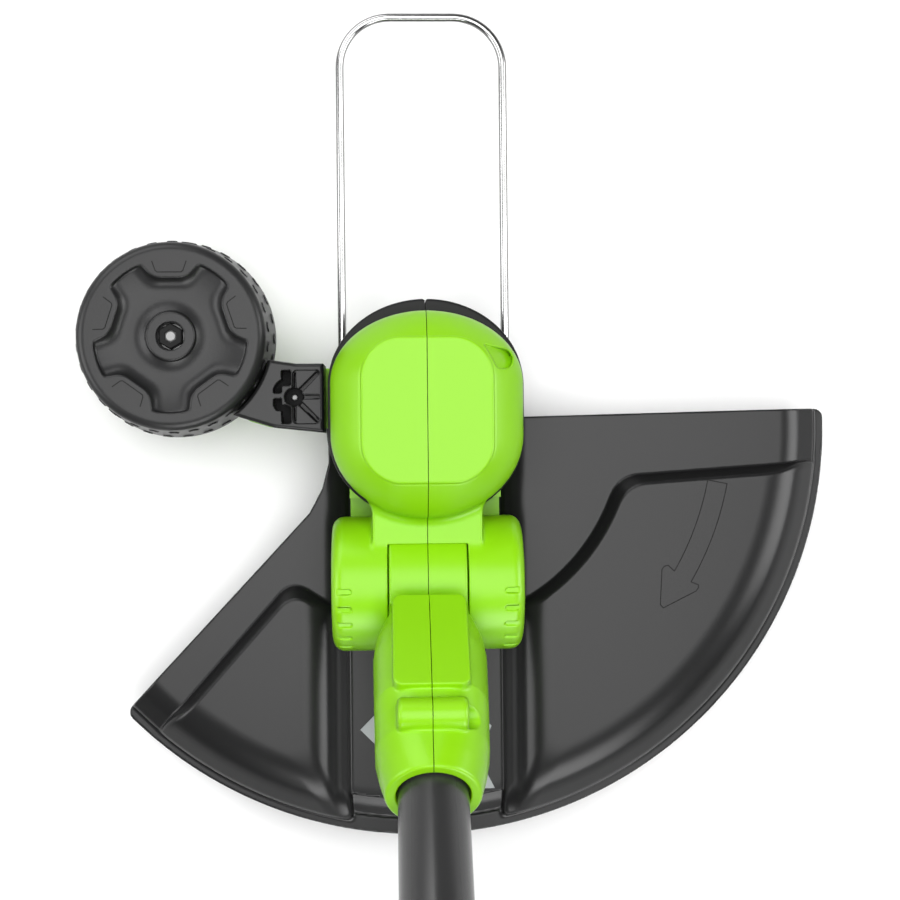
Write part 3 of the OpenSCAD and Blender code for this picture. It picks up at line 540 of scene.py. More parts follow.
# ---------------------------------------------------------------- guard
WALL_R, LIP_R = 163.5, 168.0
BASE_Z, PANEL_Z, LIP_TOP, LIP_LOW = 44.0, 51.0, 31.5, 29.0
WALL = 2.5
CHANNEL_LOW, CHANNEL_TOP = 34.2, 36.5
RIGHT_STEP, RIGHT_NORMAL = (85, -19.4), (-0.0647, 0.9979)
LEFT_STEP, LEFT_NORMAL = (-61.3, -68.2), (-0.7474, 0.6644)
FREE_EDGE = [
    (200, 7.4), (36.8, 4.2), (-36, 4.2), (-39, -2), (-39, -14), (-41.6, -24.2), (-46.8, -33.9),
    (-64.5, -52.9), (-164, -158.8), (-164, -250), (200, -250)]


def bank(u, z, top, start, degrees):
    """Half-space under a slope that leaves the level z = top at u = start."""
    a = math.radians(degrees)
    return (z - top) * math.cos(a) + (u - start) * math.sin(a)


def beyond(x, y, point, normal):
    """Distance past a straight line, given by a point and a normal."""
    return normal[0] * (x - point[0]) + normal[1] * (y - point[1])


def guard(p):
    """Low ring with two raised panels and a channel between them, a skirt and a lip, 2.5 mm thick."""
    x, y, z = p.T
    gx = x - GUARD_CX
    r = np.hypot(gx, y)
    side = np.abs(x)
    wall = smooth_max(r - WALL_R, 30.9 - side, 3.0)
    base = smooth_max(bank(r, z, BASE_Z, 151.5, 36), bank(-side, z, BASE_Z, -37.5, 45), 4.0)
    base = smooth_max(smooth_max(base, z - BASE_Z, 3.0), wall, 2.0)
    right = beyond(x, y, RIGHT_STEP, RIGHT_NORMAL)
    left = beyond(x, y, LEFT_STEP, LEFT_NORMAL)
    line = np.where(x > 0, right, left)
    plan = smooth_max(80 - np.hypot(x, y), line, 9.0)
    panel = smooth_max(plan, bank(plan, z, PANEL_Z, -4.0, 60), 2.0)
    rim = smooth_max(bank(r, z, PANEL_Z, 150.5, 46), bank(-side, z, PANEL_Z, -41.5, 58), 7.0)
    panel = smooth_max(smooth_max(panel, rim, 3.0), smooth_max(z - PANEL_Z, rim, 7.5), 1.0)
    panel = smooth_max(panel, wall, 2.0)
    top = smooth_min(base, panel, 1.0)
    shell = smooth_max(top, -(top + WALL), 0.5)
    shell = smooth_max(shell, LIP_LOW - z, 0.5)
    floor = np.maximum(slab(z, CHANNEL_LOW, CHANNEL_TOP), np.maximum(side - 31.5, r - 152))
    end = smooth_max(bank(r, z, CHANNEL_TOP, 153, 36), z - CHANNEL_TOP, 3.0)
    end = smooth_max(end, r - WALL_R, 2.0)
    end = np.maximum(smooth_max(end, -(end + 2.2), 0.5), side - 34)
    lip = round_join(slab(r, WALL_R - WALL, LIP_R), slab(z, LIP_LOW, LIP_TOP + 0.2), 0.9)
    d = smooth_min(smooth_min(shell, floor, 1.0), lip, 1.6)
    d = smooth_min(d, np.maximum(end, LIP_LOW - z), 0.8)
    edge = round_join(polygon2(x, y, FREE_EDGE), r - LIP_R, 4.0)
    d = smooth_max(d, edge, 0.8)
    centre = np.maximum(side - 30.8, -(y + 26))
    d = np.maximum(d, -centre)
    notch = np.maximum(side - 37.3, slab(y, -73.5, -47.5))
    notch = np.maximum(notch, 40.5 - z)
    return smooth_max(d, -notch, 0.6)


def arrow_line():
    """Outline of the direction arrow on the right panel, round the motor axis."""
    def at(radius, degrees):
        a = math.radians(degrees)
        return radius * math.cos(a), radius * math.sin(a)

    inner = [at(116, -11 - 19.4 * i / 12) for i in range(13)]
    outer = [at(124, -11 - 19.6 * i / 12) for i in range(13)]
    head = [at(112.6, -30.0), at(111.4, -30.6), at(111.3, -31.4), at(118.6, -37.4), at(120.4, -37.6),
            at(127.6, -31.6), at(127.8, -30.8), at(127.2, -30.4)]
    return inner[::-1] + outer, [inner[-1]] + head + [outer[-1]]


def build_guard():
    stem, head = arrow_line()
    # painted shade: the arrow's engraved outline is a near-black strip laid on the panel, not a cut groove
    ribbon("arrow_stem", stem, PANEL_Z + LINE_ABOVE, LINE_WIDTH, "groove", "head")
    ribbon("arrow_head", head, PANEL_Z + LINE_ABOVE, LINE_WIDTH, "groove", "head")
    moulded("guard_shell", guard, (-122, -170, 27.5), (168, 9.5, 52.5), 0.7, "dark", "head", ["guard"])


# ---------------------------------------------------------------- coupling
COUPLING_TOP, BOSS_S, BORE_R, BORE_FROM = 102, 82, 12.9, 90


def coupling(p):
    """Drum between the ears, and the shell that holds the foot of the tube."""
    x, s, n = shaft_coords(p)
    ax = np.abs(x)
    rho = np.hypot(s, n)
    drum = round_join(rho - DRUM_R, ax - KNUCKLE_HALF_W, 1.0)
    half_w = np.interp(s, [28, 34, 40, 48, 86, 94, 102], [14.9, 17.6, 19.6, 20.7, 20.0, 18.6, 16.6])
    half_n = np.interp(s, [30, 70, 77, 82, 102], [23.5, 23.2, 20.6, 19.4, 16.6])
    corner = np.interp(s, [30, 80, 102], [15.0, 15.5, 16.5])
    body = box2(x, n, half_w, half_n, corner)
    body = smooth_max(body, slab(s, 20, COUPLING_TOP), 1.2)
    body = smooth_max(body, 20.5 + 11.0 * np.clip(n / 23, 0, 1) ** 2 - s, 0.8)
    room = np.where(ax > KNUCKLE_HALF_W, DRUM_R + DRUM_GAP - rho, NEVER)
    body = smooth_max(body, room, 0.6)
    d = smooth_min(drum, body, 2.0)
    panel = round_join(box2(x, s - 51, 13.6, 21.5, 3.4), n - 24.4, 0.7)
    panel = np.maximum(panel, 14 - n)
    d = smooth_min(d, panel, 0.7)
    boss = round_join(np.hypot(s - BOSS_S, n - 19.6) - 5.9, slab(x, -12.2, 12.4), 1.8)
    d = smooth_min(d, boss, 1.2)
    pocket = np.maximum(np.hypot(s - BOSS_S, n - 18.5) - 4.6, slab(x, 12.4, 17.5))
    d = smooth_max(d, -pocket, 0.4)
    bore = np.maximum(np.hypot(x, n) - BORE_R, BORE_FROM - s)
    return smooth_max(d, -bore, 0.8)


def build_coupling():
    shells = ["coupling_left", "coupling_right"]
    moulded("coupling", coupling, (-22, -150, 40), (22, -32, 160), 0.62, "green", "shaft", shells, True)


# ---------------------------------------------------------------- edging wheel and its arm
WHEEL_X, WHEEL_Y = -98.0, 36.0
WHEEL_LOW, WHEEL_TOP = 45.0, 74.0
TREAD_R, TREAD_TAPER, STUD_R, STUDS = 39.2, 0.105, 2.1, 30
TAB_ANGLES = [90 + 72 * i for i in range(5)]
TAB_V, TAB_HALF_W, FACE_R, HUB_R, HUB_Z, AXLE_R = 22.4, 6.6, 29.6, 9.7, 73.2, 5.06


def wheel(p):
    """Tapered wheel with two rows of studs, a dished face with five tabs, and a ribbed hollow below."""
    x, y, z = p[:, 0] - WHEEL_X, p[:, 1] - WHEEL_Y, p[:, 2]
    r = np.hypot(x, y)
    middle = (WHEEL_LOW + WHEEL_TOP) / 2
    tread = TREAD_R - TREAD_TAPER * (z - WHEEL_LOW)
    d = round_join(r - tread, np.abs(z - middle) - (WHEEL_TOP - WHEEL_LOW) / 2, 3.4)
    step = 2 * math.pi / STUDS
    for row, low in enumerate((middle - 7, middle + 5.5)):
        turn = np.arctan2(y, x) - row * step / 2
        off = (turn - np.round(turn / step) * step) * TREAD_R
        stud = np.maximum(np.hypot(off, z - low) - STUD_R, low - 0.4 - z)
        stud = np.maximum(stud, np.abs(r - tread) - 0.5)
        d = smooth_min(d, stud, 0.3)
    tab = np.full(x.shape, FAR)
    for angle in TAB_ANGLES:
        u, v = turned(x, y, angle)
        flank = (np.abs(u) - TAB_HALF_W - 0.75 * (v - TAB_V)) / 1.25
        tab = np.minimum(tab, smooth_max(TAB_V - v, flank, 3.0))
    floor = 69.4 + 2.2 * np.clip((r - 15) / 14.6, 0, 1) ** 2 + 1.8 * np.clip((15 - r) / 5.3, 0, 1) ** 2
    recess = smooth_max(smooth_max(floor - z, -tab, 5.5), r - FACE_R, 1.0)
    d = smooth_max(d, -recess, 0.7)
    hub = round_join(r - HUB_R, z - HUB_Z, 1.0)
    d = smooth_min(d, np.maximum(hub, 60 - z), 0.3)
    nut_room = np.minimum(np.maximum(r - 5.5, 68.2 - z), np.maximum(r - 7.8, slab(z, 68.2, 71.6)))
    d = smooth_max(d, -nut_room, 0.4)
    hollow = round_join(slab(r, 11, 33), z - 60, 2.0)
    for angle in TAB_ANGLES:
        u, v = turned(x, y, angle + 36)
        hollow = smooth_max(hollow, -np.maximum(np.abs(u) - 1.3, -v), 0.8)
    d = smooth_max(d, -hollow, 0.6)
    return np.maximum(d, -np.maximum(r - AXLE_R, z - 69))


ARM = [(-39.5, -1.7), (-59, 0.4), (-80, 7), (-80, 27.4), (-61.8, 27.1), (-50, 25.3), (-39.5, 25.3)]
SOCKET_X, SOCKET_Y = -51.2, 12.3
CELLS = ((-2.9, 7.4, 1.9, 3.0), (-2.9, -6.7, 1.9, 3.7), (-6.2, 4.0, 1.6, 2.5), (-6.2, -2.9, 1.6, 2.4))


def wheel_arm(p):
    """Arm cover that ends against the wheel, with a pocket of slots and cells round its screw."""
    x, y, z = p.T
    reach = TREAD_R - TREAD_TAPER * (z - WHEEL_LOW) + 1.2
    plan = smooth_max(polygon2(x, y, ARM), reach - np.hypot(x - WHEEL_X, y - WHEEL_Y), 0.8)
    d = round_join(plan, slab(z, 43.6, 68), 1.6)
    u, v = x - SOCKET_X, y - SOCKET_Y
    r = np.hypot(u, v)
    frame = box2(u - 5.0, v, 5.4, 10.4, 2.0)
    d = smooth_max(d, -np.maximum(frame, 67.0 - z), 0.4)
    slots = np.full(x.shape, FAR)
    for degrees in (90, 45, 0, -45, -90):
        c, k = math.cos(math.radians(degrees)), math.sin(math.radians(degrees))
        across, along = -u * k + v * c, u * c + v * k
        slots = np.minimum(slots, np.maximum(np.abs(across) - 0.95 + 0.02 * along, -along))
    slots = np.maximum(np.maximum(slots, np.maximum(frame + 0.5, -u - 0.6)), 62 - z)
    d = smooth_max(d, -slots, 0.4)
    for cu, cv, hu, hv in CELLS:
        cell = np.maximum(box2(u - cu, v - cv, hu, hv, 0.8), 4.1 - r)
        cell = np.maximum(cell, np.where(u < -4.7, r - 8.4, NEVER))
        d = smooth_max(d, -np.maximum(cell, 56 - z), 0.4)
    return smooth_max(d, -np.maximum(r - 3.5, 55 - z), 0.5)


BRACKET = [(-30.3, 0), (-62, 0.8), (-70, 3.2), (-78, 7.5), (-107, 27), (-93.5, 47), (-60, 24.5),
           (-30.3, 24.5)]


def bracket(p):
    """Flat bracket under the arm, with a round end under the wheel."""
    x, y, z = p.T
    plan = polygon2(x, y, BRACKET)
    plan = np.minimum(plan, np.hypot(x - WHEEL_X, y - WHEEL_Y) - 13.5)
    return round_join(plan, slab(z, 37, 43.5), 1.0)


def nut(name, across_flats, bore, low, high, place, material, body, nodes=()):
    """Hexagon nut with a bore, made as a ring of six flats."""
    outer, verts = across_flats / math.sqrt(3), []
    for r, z in ((bore, low), (outer, low), (outer, high - 0.5), (outer - 0.5, high), (bore, high)):
        for i in range(6):
            a = math.radians(60 * i + 30)
            verts.append((place[0] + r * math.cos(a), place[1] + r * math.sin(a), z))
    faces = []
    for k in range(5):
        for i in range(6):
            j, up = (i + 1) % 6, (k + 1) % 5
            faces.append((6 * k + i, 6 * k + j, 6 * up + j, 6 * up + i))
    finish_piece(add_object(name, mesh_from(name, verts, faces)), material, body, nodes)


def lift(x, y):
    """Moves a lathe's axis to a place seen from above."""
    return Matrix.Translation(Vector((x, y, 0)) * MM)


def build_axle():
    low, high = node_box("axle_nut")
    spot = (WHEEL_X, WHEEL_Y)
    nut("axle_hex_nut", 8.8, 2.55, low[2], high[2], spot, "groove", "head", ["axle_nut"])
    low, high = node_box("axle_bolt")
    foot, top = low[2], high[2]
    profile = [(0, foot), (2.3, foot), (2.5, foot + 0.3), (2.5, top - 1), (1.7, top), (0, top)]
    lathe("axle_bolt_body", profile, "dull", "head", lift(*spot), ["axle_bolt"])


def build_wheel():
    build_axle()
    rim = ["wheel_hub", "wheel_tyre"]
    moulded("wheel_body", wheel, (-138, -4, 43), (-58, 76, 76), 0.6, "wheel", "wheel", rim)
    moulded("wheel_arm_body", wheel_arm, (-84, -4, 42), (-38, 30, 70), 0.45, "dark", "head", ["wheel_arm"])
    moulded("bracket_body", bracket, (-114, -4, 35), (-28, 52, 46), 0.9, "green", "head", ["wheel_bracket"])
    # painted shade: a near-black plate at the floor of the arm's slots and cells, so they read dark
    corners = ((-8.6, -10.6), (3.2, -10.6), (3.2, 10.6), (-8.6, 10.6))
    pocket_shade_plate = [(SOCKET_X + u, SOCKET_Y + v) for u, v in corners]
    area_patch("arm_pocket_shade_plate", pocket_shade_plate, 58.2, "groove", "head")
    screw_top = [(0, 58.3), (1.1, 58.3), (1.1, 60.4), (0.8, 60.8), (0, 60.8)]
    lathe("socket_screw", screw_top, "dull", "head", lift(SOCKET_X, SOCKET_Y))
    # painted shade: the groove round each tab's end is a near-black strip on the wheel's face, not a cut
    # groove
    for i, angle in enumerate(TAB_ANGLES):
        a = math.radians(angle)
        line = []
        for u, v in ((-6.6, 28.8), (-5.3, 25.1), (-4.6, 24.5), (4.6, 24.5), (5.3, 25.1), (6.6, 28.8)):
            x = WHEEL_X - u * math.sin(a) + v * math.cos(a)
            y = WHEEL_Y + u * math.cos(a) + v * math.sin(a)
            line.append((x, y))
        ribbon(f"tab_line_{i + 1}", line, WHEEL_TOP + LINE_ABOVE, LINE_WIDTH, "groove", "wheel")


def area_patch(name, corners, z, material, body):
    """A thin plate with straight edges at the bottom of pockets, where in near-black it is painted shade."""
    n = len(corners)
    verts = [(x, y, z - PATCH_THICK) for x, y in corners] + [(x, y, z) for x, y in corners]
    faces = [tuple(range(n))[::-1], tuple(range(n, 2 * n))]
    faces += [(i, (i + 1) % n, n + (i + 1) % n, n + i) for i in range(n)]
    finish_piece(add_object(name, mesh_from(name, verts, faces)), material, body)


def ribbon(name, line, z, width, material, body):
    """A flat strip along an open line; in near-black it is painted shade where an engraved groove reads
    dark.
    """
    q = np.array(line, float)
    ahead, behind = np.roll(q, -1, 0) - q, q - np.roll(q, 1, 0)
    ahead[-1], behind[0] = behind[-1], ahead[0]
    ahead /= np.linalg.norm(ahead, axis=1, keepdims=True)
    behind /= np.linalg.norm(behind, axis=1, keepdims=True)
    t = ahead + behind
    t /= np.linalg.norm(t, axis=1, keepdims=True)
    mitre = np.maximum((t * ahead).sum(1, keepdims=True), 0.5)
    out = np.stack([-t[:, 1], t[:, 0]], 1) * width / 2 / mitre
    n = len(q)
    verts = [(x, y, z) for x, y in np.vstack([q - out, q + out])]
    faces = [(i, i + 1, n + i + 1, n + i) for i in range(n - 1)]
    finish_piece(add_object(name, mesh_from(name, verts, faces)), material, body)


# ---------------------------------------------------------------- tubes and wire
WIRE_CORNER_R, CORNER_STEPS = 20.0, 16


def build_tubes():
    for name, radii, length, body, start in (("lower_tube", (10.75, 12.25), 640, "shaft", 60),
                                             ("upper_tube", (12.55, 14.15), 480, "handle", 480)):
        profile = tube_profile(*radii, length)
        lathe(f"{name}_painted", profile, "tube", body, shaft_matrix(start), [name])


def build_wire():
    """The wire bow: two straight legs, two round corners and a straight front."""
    low, high = node_box("plant_guard_wire")
    r = (high[2] - low[2]) / 2
    half, front, back, z = high[0] - r, high[1] - r, low[1], (low[2] + high[2]) / 2
    corner = WIRE_CORNER_R
    points = [(-half, back, z)]
    for cx, a0 in ((-half + corner, 180), (half - corner, 90)):
        for i in range(CORNER_STEPS + 1):
            a = math.radians(a0 - 90 * i / CORNER_STEPS)
            points.append((cx + corner * math.cos(a), front - corner + corner * math.sin(a), z))
    points.append((half, back, z))
    curve = bpy.data.curves.new("wire_bow", "CURVE")
    curve.dimensions = "3D"
    curve.bevel_depth = r * MM
    curve.bevel_resolution = 6
    curve.use_fill_caps = True
    spline = curve.splines.new("POLY")
    spline.points.add(len(points) - 1)
    for q, point in zip(points, spline.points):
        point.co = (q[0] * MM, q[1] * MM, q[2] * MM, 1)
    spline.use_smooth = True
    finish_piece(add_object("wire_bow", curve), "wire", "plant_guard", ["plant_guard_wire"])


# ---------------------------------------------------------------- handles, along the shaft: x, n, s
COLLAR_S = 458.0
CLAMP_S = 640.0
GRIP_S = 910.0
GRIP_END = GRIP_S + 140
DOCK_S = GRIP_END + 66
HANDLE_LOW, DOCK_HIGH = -68, 34
DOCK = DOCK_S - GRIP_S
UPPER_R = 14.2
LEVER_N, LEVER_S = -25, 36
CLAMP_JOINT_N, BOLT_R = 30, 4.1
BAR_N = 124
TRIGGER_N, TRIGGER_S = -12, 66


def box3(a, b, c, low, high, r):
    """Rounded box between two corners."""
    mid = [(p + q) / 2 for p, q in zip(low, high)]
    half = [(q - p) / 2 - r for p, q in zip(low, high)]
    d = [np.abs(v - m) - h for v, m, h in zip((a, b, c), mid, half)]
    outside = np.sqrt(sum(np.maximum(v, 0) ** 2 for v in d))
    return outside + np.minimum(np.maximum(np.maximum(d[0], d[1]), d[2]), 0) - r


def lock_collar(p):
    """Ribbed collar at the top of the lower tube, with a fork for its lever."""
    x, n, s = p.T
    r, a = np.hypot(x, n), np.arctan2(n, x)
    wave = 0.5 * np.cos(24 * a) * np.clip((s - 4) / 6, 0, 1) * np.clip((58 - s) / 6, 0, 1)
    d = round_join(r - 19.5 - wave, slab(s, 0, 62), 3.0)
    d = smooth_min(d, box3(x, n, s, (-7, -29, 16), (7, -7, 46), 1.5), 2.0)
    d = smooth_max(d, -np.maximum(np.abs(x) - 4.5, np.maximum(n + 20, slab(s, 14, 48))), 0.4)
    bore = np.where(s < 21.6, r - 12.62, r - UPPER_R - 0.15)
    d = np.maximum(d, -np.maximum(bore, -1 - s))
    return np.maximum(d, -(np.hypot(n - LEVER_N, s - LEVER_S) - 1.8))


def lock_lever(p):
    """Flip lever with a grooved paddle."""
    x, n, s = p.T
    d = round_join(np.hypot(n - LEVER_N, s - LEVER_S) - 3.95, np.abs(x) - 4.05, 0.6)
    d = smooth_min(d, box3(x, n, s, (-4.05, -28.9, 4), (4.05, -24.1, 36), 1.0), 1.5)
    paddle = box3(x, n, s, (-8, -32, -10), (8, -27, 14), 1.8)
    for at in (-6, -2, 2, 6):
        paddle = smooth_max(paddle, -(np.hypot(n + 32.4, s - at) - 1.0), 0.4)
    d = smooth_min(d, paddle, 1.5)
    return np.maximum(d, -(np.hypot(n - LEVER_N, s - LEVER_S) - 1.7))


def handle_clamp(p):
    """Split clamp round the upper tube, with the joint of the front handle on top."""
    x, n, s = p.T
    d = round_join(np.hypot(x, n) - 20, np.abs(s) - 20, 3.0)
    d = smooth_min(d, box3(x, n, s, (-17, 0, -14), (17, 34, 14), 2.0), 3.0)
    d = smooth_min(d, round_join(np.hypot(n - CLAMP_JOINT_N, s) - 14, np.abs(x) - 17, 1.5), 1.5)
    split = np.maximum(np.abs(n) - 0.5, UPPER_R - np.abs(x))
    d = smooth_max(d, -np.maximum(split, 16 - np.abs(x)), 0.3)
    d = np.maximum(d, -(np.hypot(x, n) - UPPER_R - 0.1))
    return np.maximum(d, -(np.hypot(n - CLAMP_JOINT_N, s) - BOLT_R))


def rod(x, n, s, a, b, ra, rb):
    """Tapered capsule in the plane of the front handle, mirrored left and right."""
    run = (b[0] - a[0], b[1] - a[1])
    length = run[0] ** 2 + run[1] ** 2
    t = np.clip(((np.abs(x) - a[0]) * run[0] + (n - a[1]) * run[1]) / length, 0, 1)
    off = np.sqrt((np.abs(x) - a[0] - t * run[0]) ** 2 + (n - a[1] - t * run[1]) ** 2 + s ** 2)
    return off - ra - (rb - ra) * t


HANDLE_PATH = [(22.8, 8), (25.5, 28), (49, 49), (60, 61), (65, 72), (66.5, 83), (65.5, 95), (61, 107),
               (54, 117), (46, BAR_N)]
HANDLE_RADII = [4.5, 8.8] + [9.6] * 8


def front_handle(p):
    """Bow handle with two round eyes at its joint and a thin core under the grip."""
    x, n, s = p.T
    d = np.full(x.shape, FAR)
    ends = list(zip(HANDLE_PATH, HANDLE_RADII))
    for (a, ra), (b, rb) in zip(ends, ends[1:]):
        d = np.minimum(d, rod(x, n, s, a, b, ra, rb))
    ax = np.abs(x)
    d = smooth_min(d, box3(ax, n, s, (20, 2, -9), (27, 28, 9), 2.0), 2.5)
    d = smooth_max(d, 17.5 - ax, 0.5)
    d = smooth_min(d, round_join(np.hypot(n, s) - 14, slab(ax, 17.5, 26.9), 1.2), 1.2)
    core = np.maximum(np.hypot(n - BAR_N, s) - 7.95, ax - 46)
    d = np.minimum(smooth_max(d, np.where(n > 104, 36 - ax, NEVER), 1.5), core)
    d = np.maximum(d, np.where(n < 15, 17.5 - ax, NEVER))
    return np.maximum(d, -np.maximum(np.hypot(n, s) - BOLT_R, ax - 40))


def front_grip(p):
    """Ridged rubber sleeve on the bar of the front handle."""
    x, n, s = p.T
    r = np.hypot(n - BAR_N, s)
    ridge = 0.45 * np.cos(x * 2 * math.pi / 5.0) * np.clip((33 - np.abs(x)) / 3, 0, 1)
    d = round_join(r - 12.0 - ridge, np.abs(x) - 35.4, 2.5)
    return np.maximum(d, 8.05 - r)


def clamp_knob(p):
    """Six-lobed knob that tightens the front handle's joint."""
    x, n, s = p.T
    r, a = np.hypot(n, s), np.arctan2(s, n)
    d = round_join(r - 16.4, slab(x, 31, 44), 2.5)
    step = math.pi / 3
    turn = a - np.round(a / step) * step
    flute = np.hypot(r * np.cos(turn) - 19.6, r * np.sin(turn)) - 5.4
    d = smooth_max(d, -flute, 1.2)
    d = smooth_max(d, -(np.sqrt(r ** 2 + (x - 56) ** 2) - 15.0), 0.8)
    d = smooth_min(d, round_join(r - 9, slab(x, 27.5, 33), 0.6), 0.8)
    return np.maximum(d, -np.maximum(r - BOLT_R, x - 36))


def battery_rails(x, n, s, grow):
    """T-shaped rails that the battery hangs from; s is measured from the dock face."""
    ax = np.abs(x)
    web = box3(ax, n, s, (19 - grow, -60 - grow, -1), (23 + grow, 24 + grow, 7), 0.1)
    head = box3(ax, n, s, (19 - grow, -60 - grow, 4 - grow), (27 + grow, 24 + grow, 7 + grow), 0.4)
    return np.minimum(web, head)


HANDLE_SCREWS = [(-19, 30), (18.3, 30), (-60, 38), (-60, 135), (18, 134)]
HANDLE_ROOMS = [((-10, -13, 55), (10, 15, 145)), ((-7, -30, 58), (7, -10, 118)), ((-6, 10, 62), (6, 30, 96)),
                ((-13, -28, 202), (13, -10, 210))]


def rear_handle(p):
    """D-shaped rear handle with the battery dock, hollow where the controls sit."""
    x, n, s = p[:, 0], p[:, 1], p[:, 2] - GRIP_S
    socket = box3(x, n, s, (-17, -22, 0), (17, 22, 44), 8)
    socket = smooth_max(socket, -np.maximum(slab(s, 8, 36), 0.35 * np.sin(s) + 16.8 - np.abs(x)), 0.6)
    grip = box3(x, n, s, (-17, -17, 34), (17, 21, 156), 10)
    bridge = box3(x, n, s, (-17, HANDLE_LOW, 22), (17, -8, 46), 8)
    bar = box3(x, n, s, (-17, HANDLE_LOW, 24), (17, -54, 156), 6.5)
    d = smooth_min(smooth_min(socket, grip, 5.0), smooth_min(bridge, bar, 10.0), 9.0)
    dock = box3(x, n, s, (-31, HANDLE_LOW, 140), (31, DOCK_HIGH, 230), 9)
    for at in (156, 162, 168, 174, 180):
        vent = np.hypot(np.maximum(np.abs(n + 18) - 16, 0), s - at) - 1.1
        dock = smooth_max(dock, -np.maximum(vent, 30.2 - np.abs(x)), 0.4)
    d = smooth_min(d, dock, 8.0)
    d = smooth_max(d, s - DOCK, 0.8)
    d = np.minimum(d, battery_rails(x, n, s - DOCK, 0))
    room = box3(x, n, s, (-28, HANDLE_LOW + 3, 143), (28, DOCK_HIGH - 3, 203), 5)
    d = np.maximum(d, -room)
    for low, high in HANDLE_ROOMS:
        d = np.maximum(d, -box3(x, n, s, low, high, 0.3))
    for at_n, at_s in HANDLE_SCREWS:
        off = np.hypot(n - at_n, s - at_s)
        d = np.maximum(d, -np.maximum(off - 3.15, 15.3 - x))
        d = np.maximum(d, -np.maximum(off - 1.5, slab(x, -11, 16)))
    pin = np.maximum(np.hypot(n - TRIGGER_N, s - TRIGGER_S) - 2.1, np.abs(x) - 12)
    d = np.maximum(d, -pin)
    return np.maximum(d, -np.maximum(np.hypot(x, n) - UPPER_R - 0.1, s - 51))


def trigger(p):
    """Trigger with a hollow for the finger, round at its pin."""
    x, n, s = p[:, 0], p[:, 1], p[:, 2] - GRIP_S
    d = box3(x, n, s, (-6.5, -27, 64), (6.5, -10, 114), 2.2)
    d = smooth_max(d, -(np.hypot(n + 34, s - 90) - 10.5), 2.0)
    d = smooth_min(d, round_join(np.hypot(n - TRIGGER_N, s - TRIGGER_S) - 3.95, np.abs(x) - 6.45, 0.5), 0.5)
    return np.maximum(d, -(np.hypot(n - TRIGGER_N, s - TRIGGER_S) - 2.1))


def lock_off(p):
    """Grooved lock-off button on top of the grip."""
    x, n, s = p[:, 0], p[:, 1], p[:, 2] - GRIP_S
    d = box3(x, n, s, (-5.55, 16, 64), (5.55, 25, 94), 1.4)
    for at in range(70, 90, 4):
        d = smooth_max(d, -(np.hypot(n - 25.6, s - at) - 1.1), 0.4)
    return d


def battery(p):
    """Battery pack with a groove round it, ribs at its sides and slots for the rails and the latch."""
    x, n, s = p.T
    d = box3(x, n, s, (-38, HANDLE_LOW - 2, 0.4), (38, DOCK_HIGH + 2, 66), 7)
    depth = 36.8 - np.maximum(np.abs(x), np.abs(n + 17) - 16.2)
    d = smooth_max(d, -np.maximum(slab(s, 52, 54.2), depth), 0.6)
    for at in (-44, -34, -24, -14, -4):
        rib = np.hypot(n - at, np.maximum(np.abs(s - 28) - 12, 0)) - 2.2
        d = smooth_max(d, -np.maximum(rib, 37 - np.abs(x)), 0.5)
    end = np.maximum(box2(x, n + 17, 26, 40, 6), 65.2 - s)
    d = smooth_max(d, -end, 0.6)
    d = np.maximum(d, -battery_rails(x, n, s, 0.5))
    d = np.maximum(d, -battery_rails(x, n + 42, s, 0.5))
    d = np.maximum(d, -np.maximum(np.abs(x) - 14, np.maximum(slab(n, -78, -4), s - 16)))
    return np.maximum(d, -np.maximum(np.abs(x) - 12.5, np.maximum(slab(s, 24, 50), 20 - n)))


def battery_latch(p):
    """Grooved press latch in the battery's front."""
    x, n, s = p.T
    d = box3(x, n, s, (-12, 24.6, 24.5), (12, 38, 49.5), 1.8)
    for at in range(30, 46, 4):
        d = smooth_max(d, -np.maximum(np.hypot(n - 38.4, s - at) - 1.2, np.abs(x) - 9), 0.4)
    return d


def build_upper():
    """A row is place, name, function, low and high corner, grid step, material, body, nodes, halves."""
    collar, clamp = shaft_matrix(COLLAR_S), shaft_matrix(CLAMP_S)
    tilt = clamp @ Matrix.Translation((0, CLAMP_JOINT_N * MM, 0))
    base, dock = shaft_matrix(0), shaft_matrix(DOCK_S)
    g = GRIP_S
    rows = [
        (collar, "lock_collar_body", lock_collar, (-22, -31, -2), (22, 22, 64), 0.8, "black", "collar",
         ["lock_collar"]),
        (collar, "lock_lever_body", lock_lever, (-10, -34, -12), (10, -19, 42), 0.7, "green", "lock_lever",
         ["lock_lever"]),
        (clamp, "handle_clamp_body", handle_clamp, (-22, -22, -22), (22, 46, 22), 0.9, "black", "handle",
         ["front_handle_clamp"]),
        (tilt, "front_handle_body", front_handle, (-80, -18, -16), (80, 138, 16), 1.1, "black",
         "front_handle", ["front_handle"]),
        (tilt, "front_grip_body", front_grip, (-38, 109, -15), (38, 139, 15), 0.8, "grip",
         "front_handle", ["front_grip"]),
        (tilt, "clamp_knob_body", clamp_knob, (26, -18, -18), (46, 18, 18), 0.7, "green", "clamp_knob",
         ["clamp_knob"]),
        (base, "rear_handle", rear_handle, (-33, -71, g - 2), (33, 37, DOCK_S + 9), 1.1, "green", "handle",
         ["rear_handle_left", "rear_handle_right"], True),
        (base, "trigger_body", trigger, (-9, -29, g + 60), (9, -6, g + 117), 0.8, "black", "trigger",
         ["trigger"]),
        (base, "lock_off_body", lock_off, (-8, 14, g + 62), (8, 27, g + 97), 0.6, "black", "lock_off",
         ["lock_off_button"]),
        (dock, "battery_body", battery, (-41, -73, -2), (41, 39, 69), 1.1, "black", "battery",
         ["battery"]),
        (dock, "battery_latch_body", battery_latch, (-14, 22, 22), (14, 40, 52), 0.7, "green",
         "battery_latch", ["battery_latch"]),
    ]
    for place, *row in rows:
        moulded(*row, place=place)


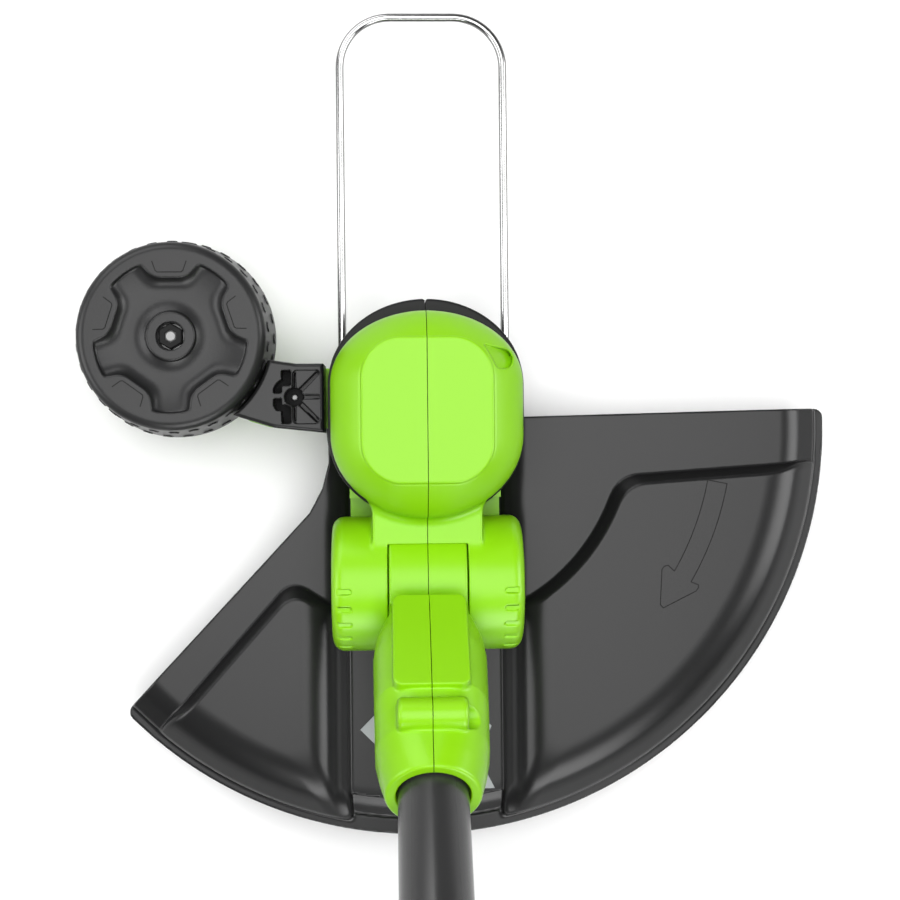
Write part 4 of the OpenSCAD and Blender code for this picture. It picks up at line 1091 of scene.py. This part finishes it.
# ---------------------------------------------------------------- stage
def area_light(name, place, target, size, power):
    light = bpy.data.lights.new(name, "AREA")
    light.shape = "RECTANGLE"
    light.size, light.size_y = size
    light.energy = power
    obj = add_object(name, light)
    obj.location = place
    obj.rotation_euler = (Vector(target) - Vector(place)).to_track_quat("-Z", "Y").to_euler()
    return obj


WORLD_STRENGTH = 0.16
STRIP_AWAY, STRIP_Z, STRIP_HEIGHT = 1.3, 0.72, 0.78
# name, angle in degrees, width and power of the strips that are seen only in reflections
STRIPS = (("right", 0, 1.2, 34), ("back", -80, 1.2, 32), ("left", -176, 1.1, 22), ("front", 120, 1.3, 18))


def build_stage():
    """A pale floor, a soft box overhead and strips round the head. The view transform is the plain one."""
    bpy.ops.mesh.primitive_plane_add(size=8, location=(0, 0, -0.0005))
    floor = bpy.context.object
    floor.name = "floor"
    floor.data.materials.append(plain("pale_floor", (0.9, 0.9, 0.9), 0.7, specular=0.1))
    world = bpy.data.worlds.new("studio")
    world.use_nodes = True
    world.node_tree.nodes["Background"].inputs["Color"].default_value = (1, 1, 1, 1)
    world.node_tree.nodes["Background"].inputs["Strength"].default_value = WORLD_STRENGTH
    bpy.context.scene.world = world
    bpy.context.scene.view_settings.view_transform = "Standard"
    area_light("overhead", (0.02, 0.07, 1.7), (0, 0, 0), (1.4, 1.4), 44)
    area_light("front_left_high", (-0.9, 0.9, 1.1), (0, 0, 0.05), (0.5, 0.5), 2)
    for name, angle, width, power in STRIPS:
        a = math.radians(angle)
        place = (STRIP_AWAY * math.cos(a), STRIP_AWAY * math.sin(a), STRIP_Z)
        strip = area_light(name, place, (0, 0, 0.05), (width, STRIP_HEIGHT), power)
        strip.visible_diffuse = False


def build_camera():
    """The photograph looks down at the head from about 0.68 m above the ground."""
    camera = bpy.data.cameras.new("photo_view")
    camera.sensor_width = 36
    camera.lens = 63.2
    camera.clip_start = 0.01
    obj = add_object("photo_view", camera)
    lean_x, lean_y, roll = math.radians(1.994), math.radians(0.181), math.radians(-0.567)
    down = Vector((-math.sin(lean_x), math.sin(lean_y), -1)).normalized()
    turn = Vector((0, 0, -1)).rotation_difference(down).to_matrix()
    spin = Matrix.Rotation(roll, 3, "Z")
    world_to_camera = turn @ spin.inverted()
    obj.matrix_world = Matrix.Translation((-0.01197, -0.00678, 0.684)) @ world_to_camera.inverted().to_4x4()
    bpy.context.scene.camera = obj


dress_cad_nodes()
build_head()
build_guard()
build_coupling()
build_wheel()
build_tubes()
build_wire()
build_upper()
build_stage()
build_camera()
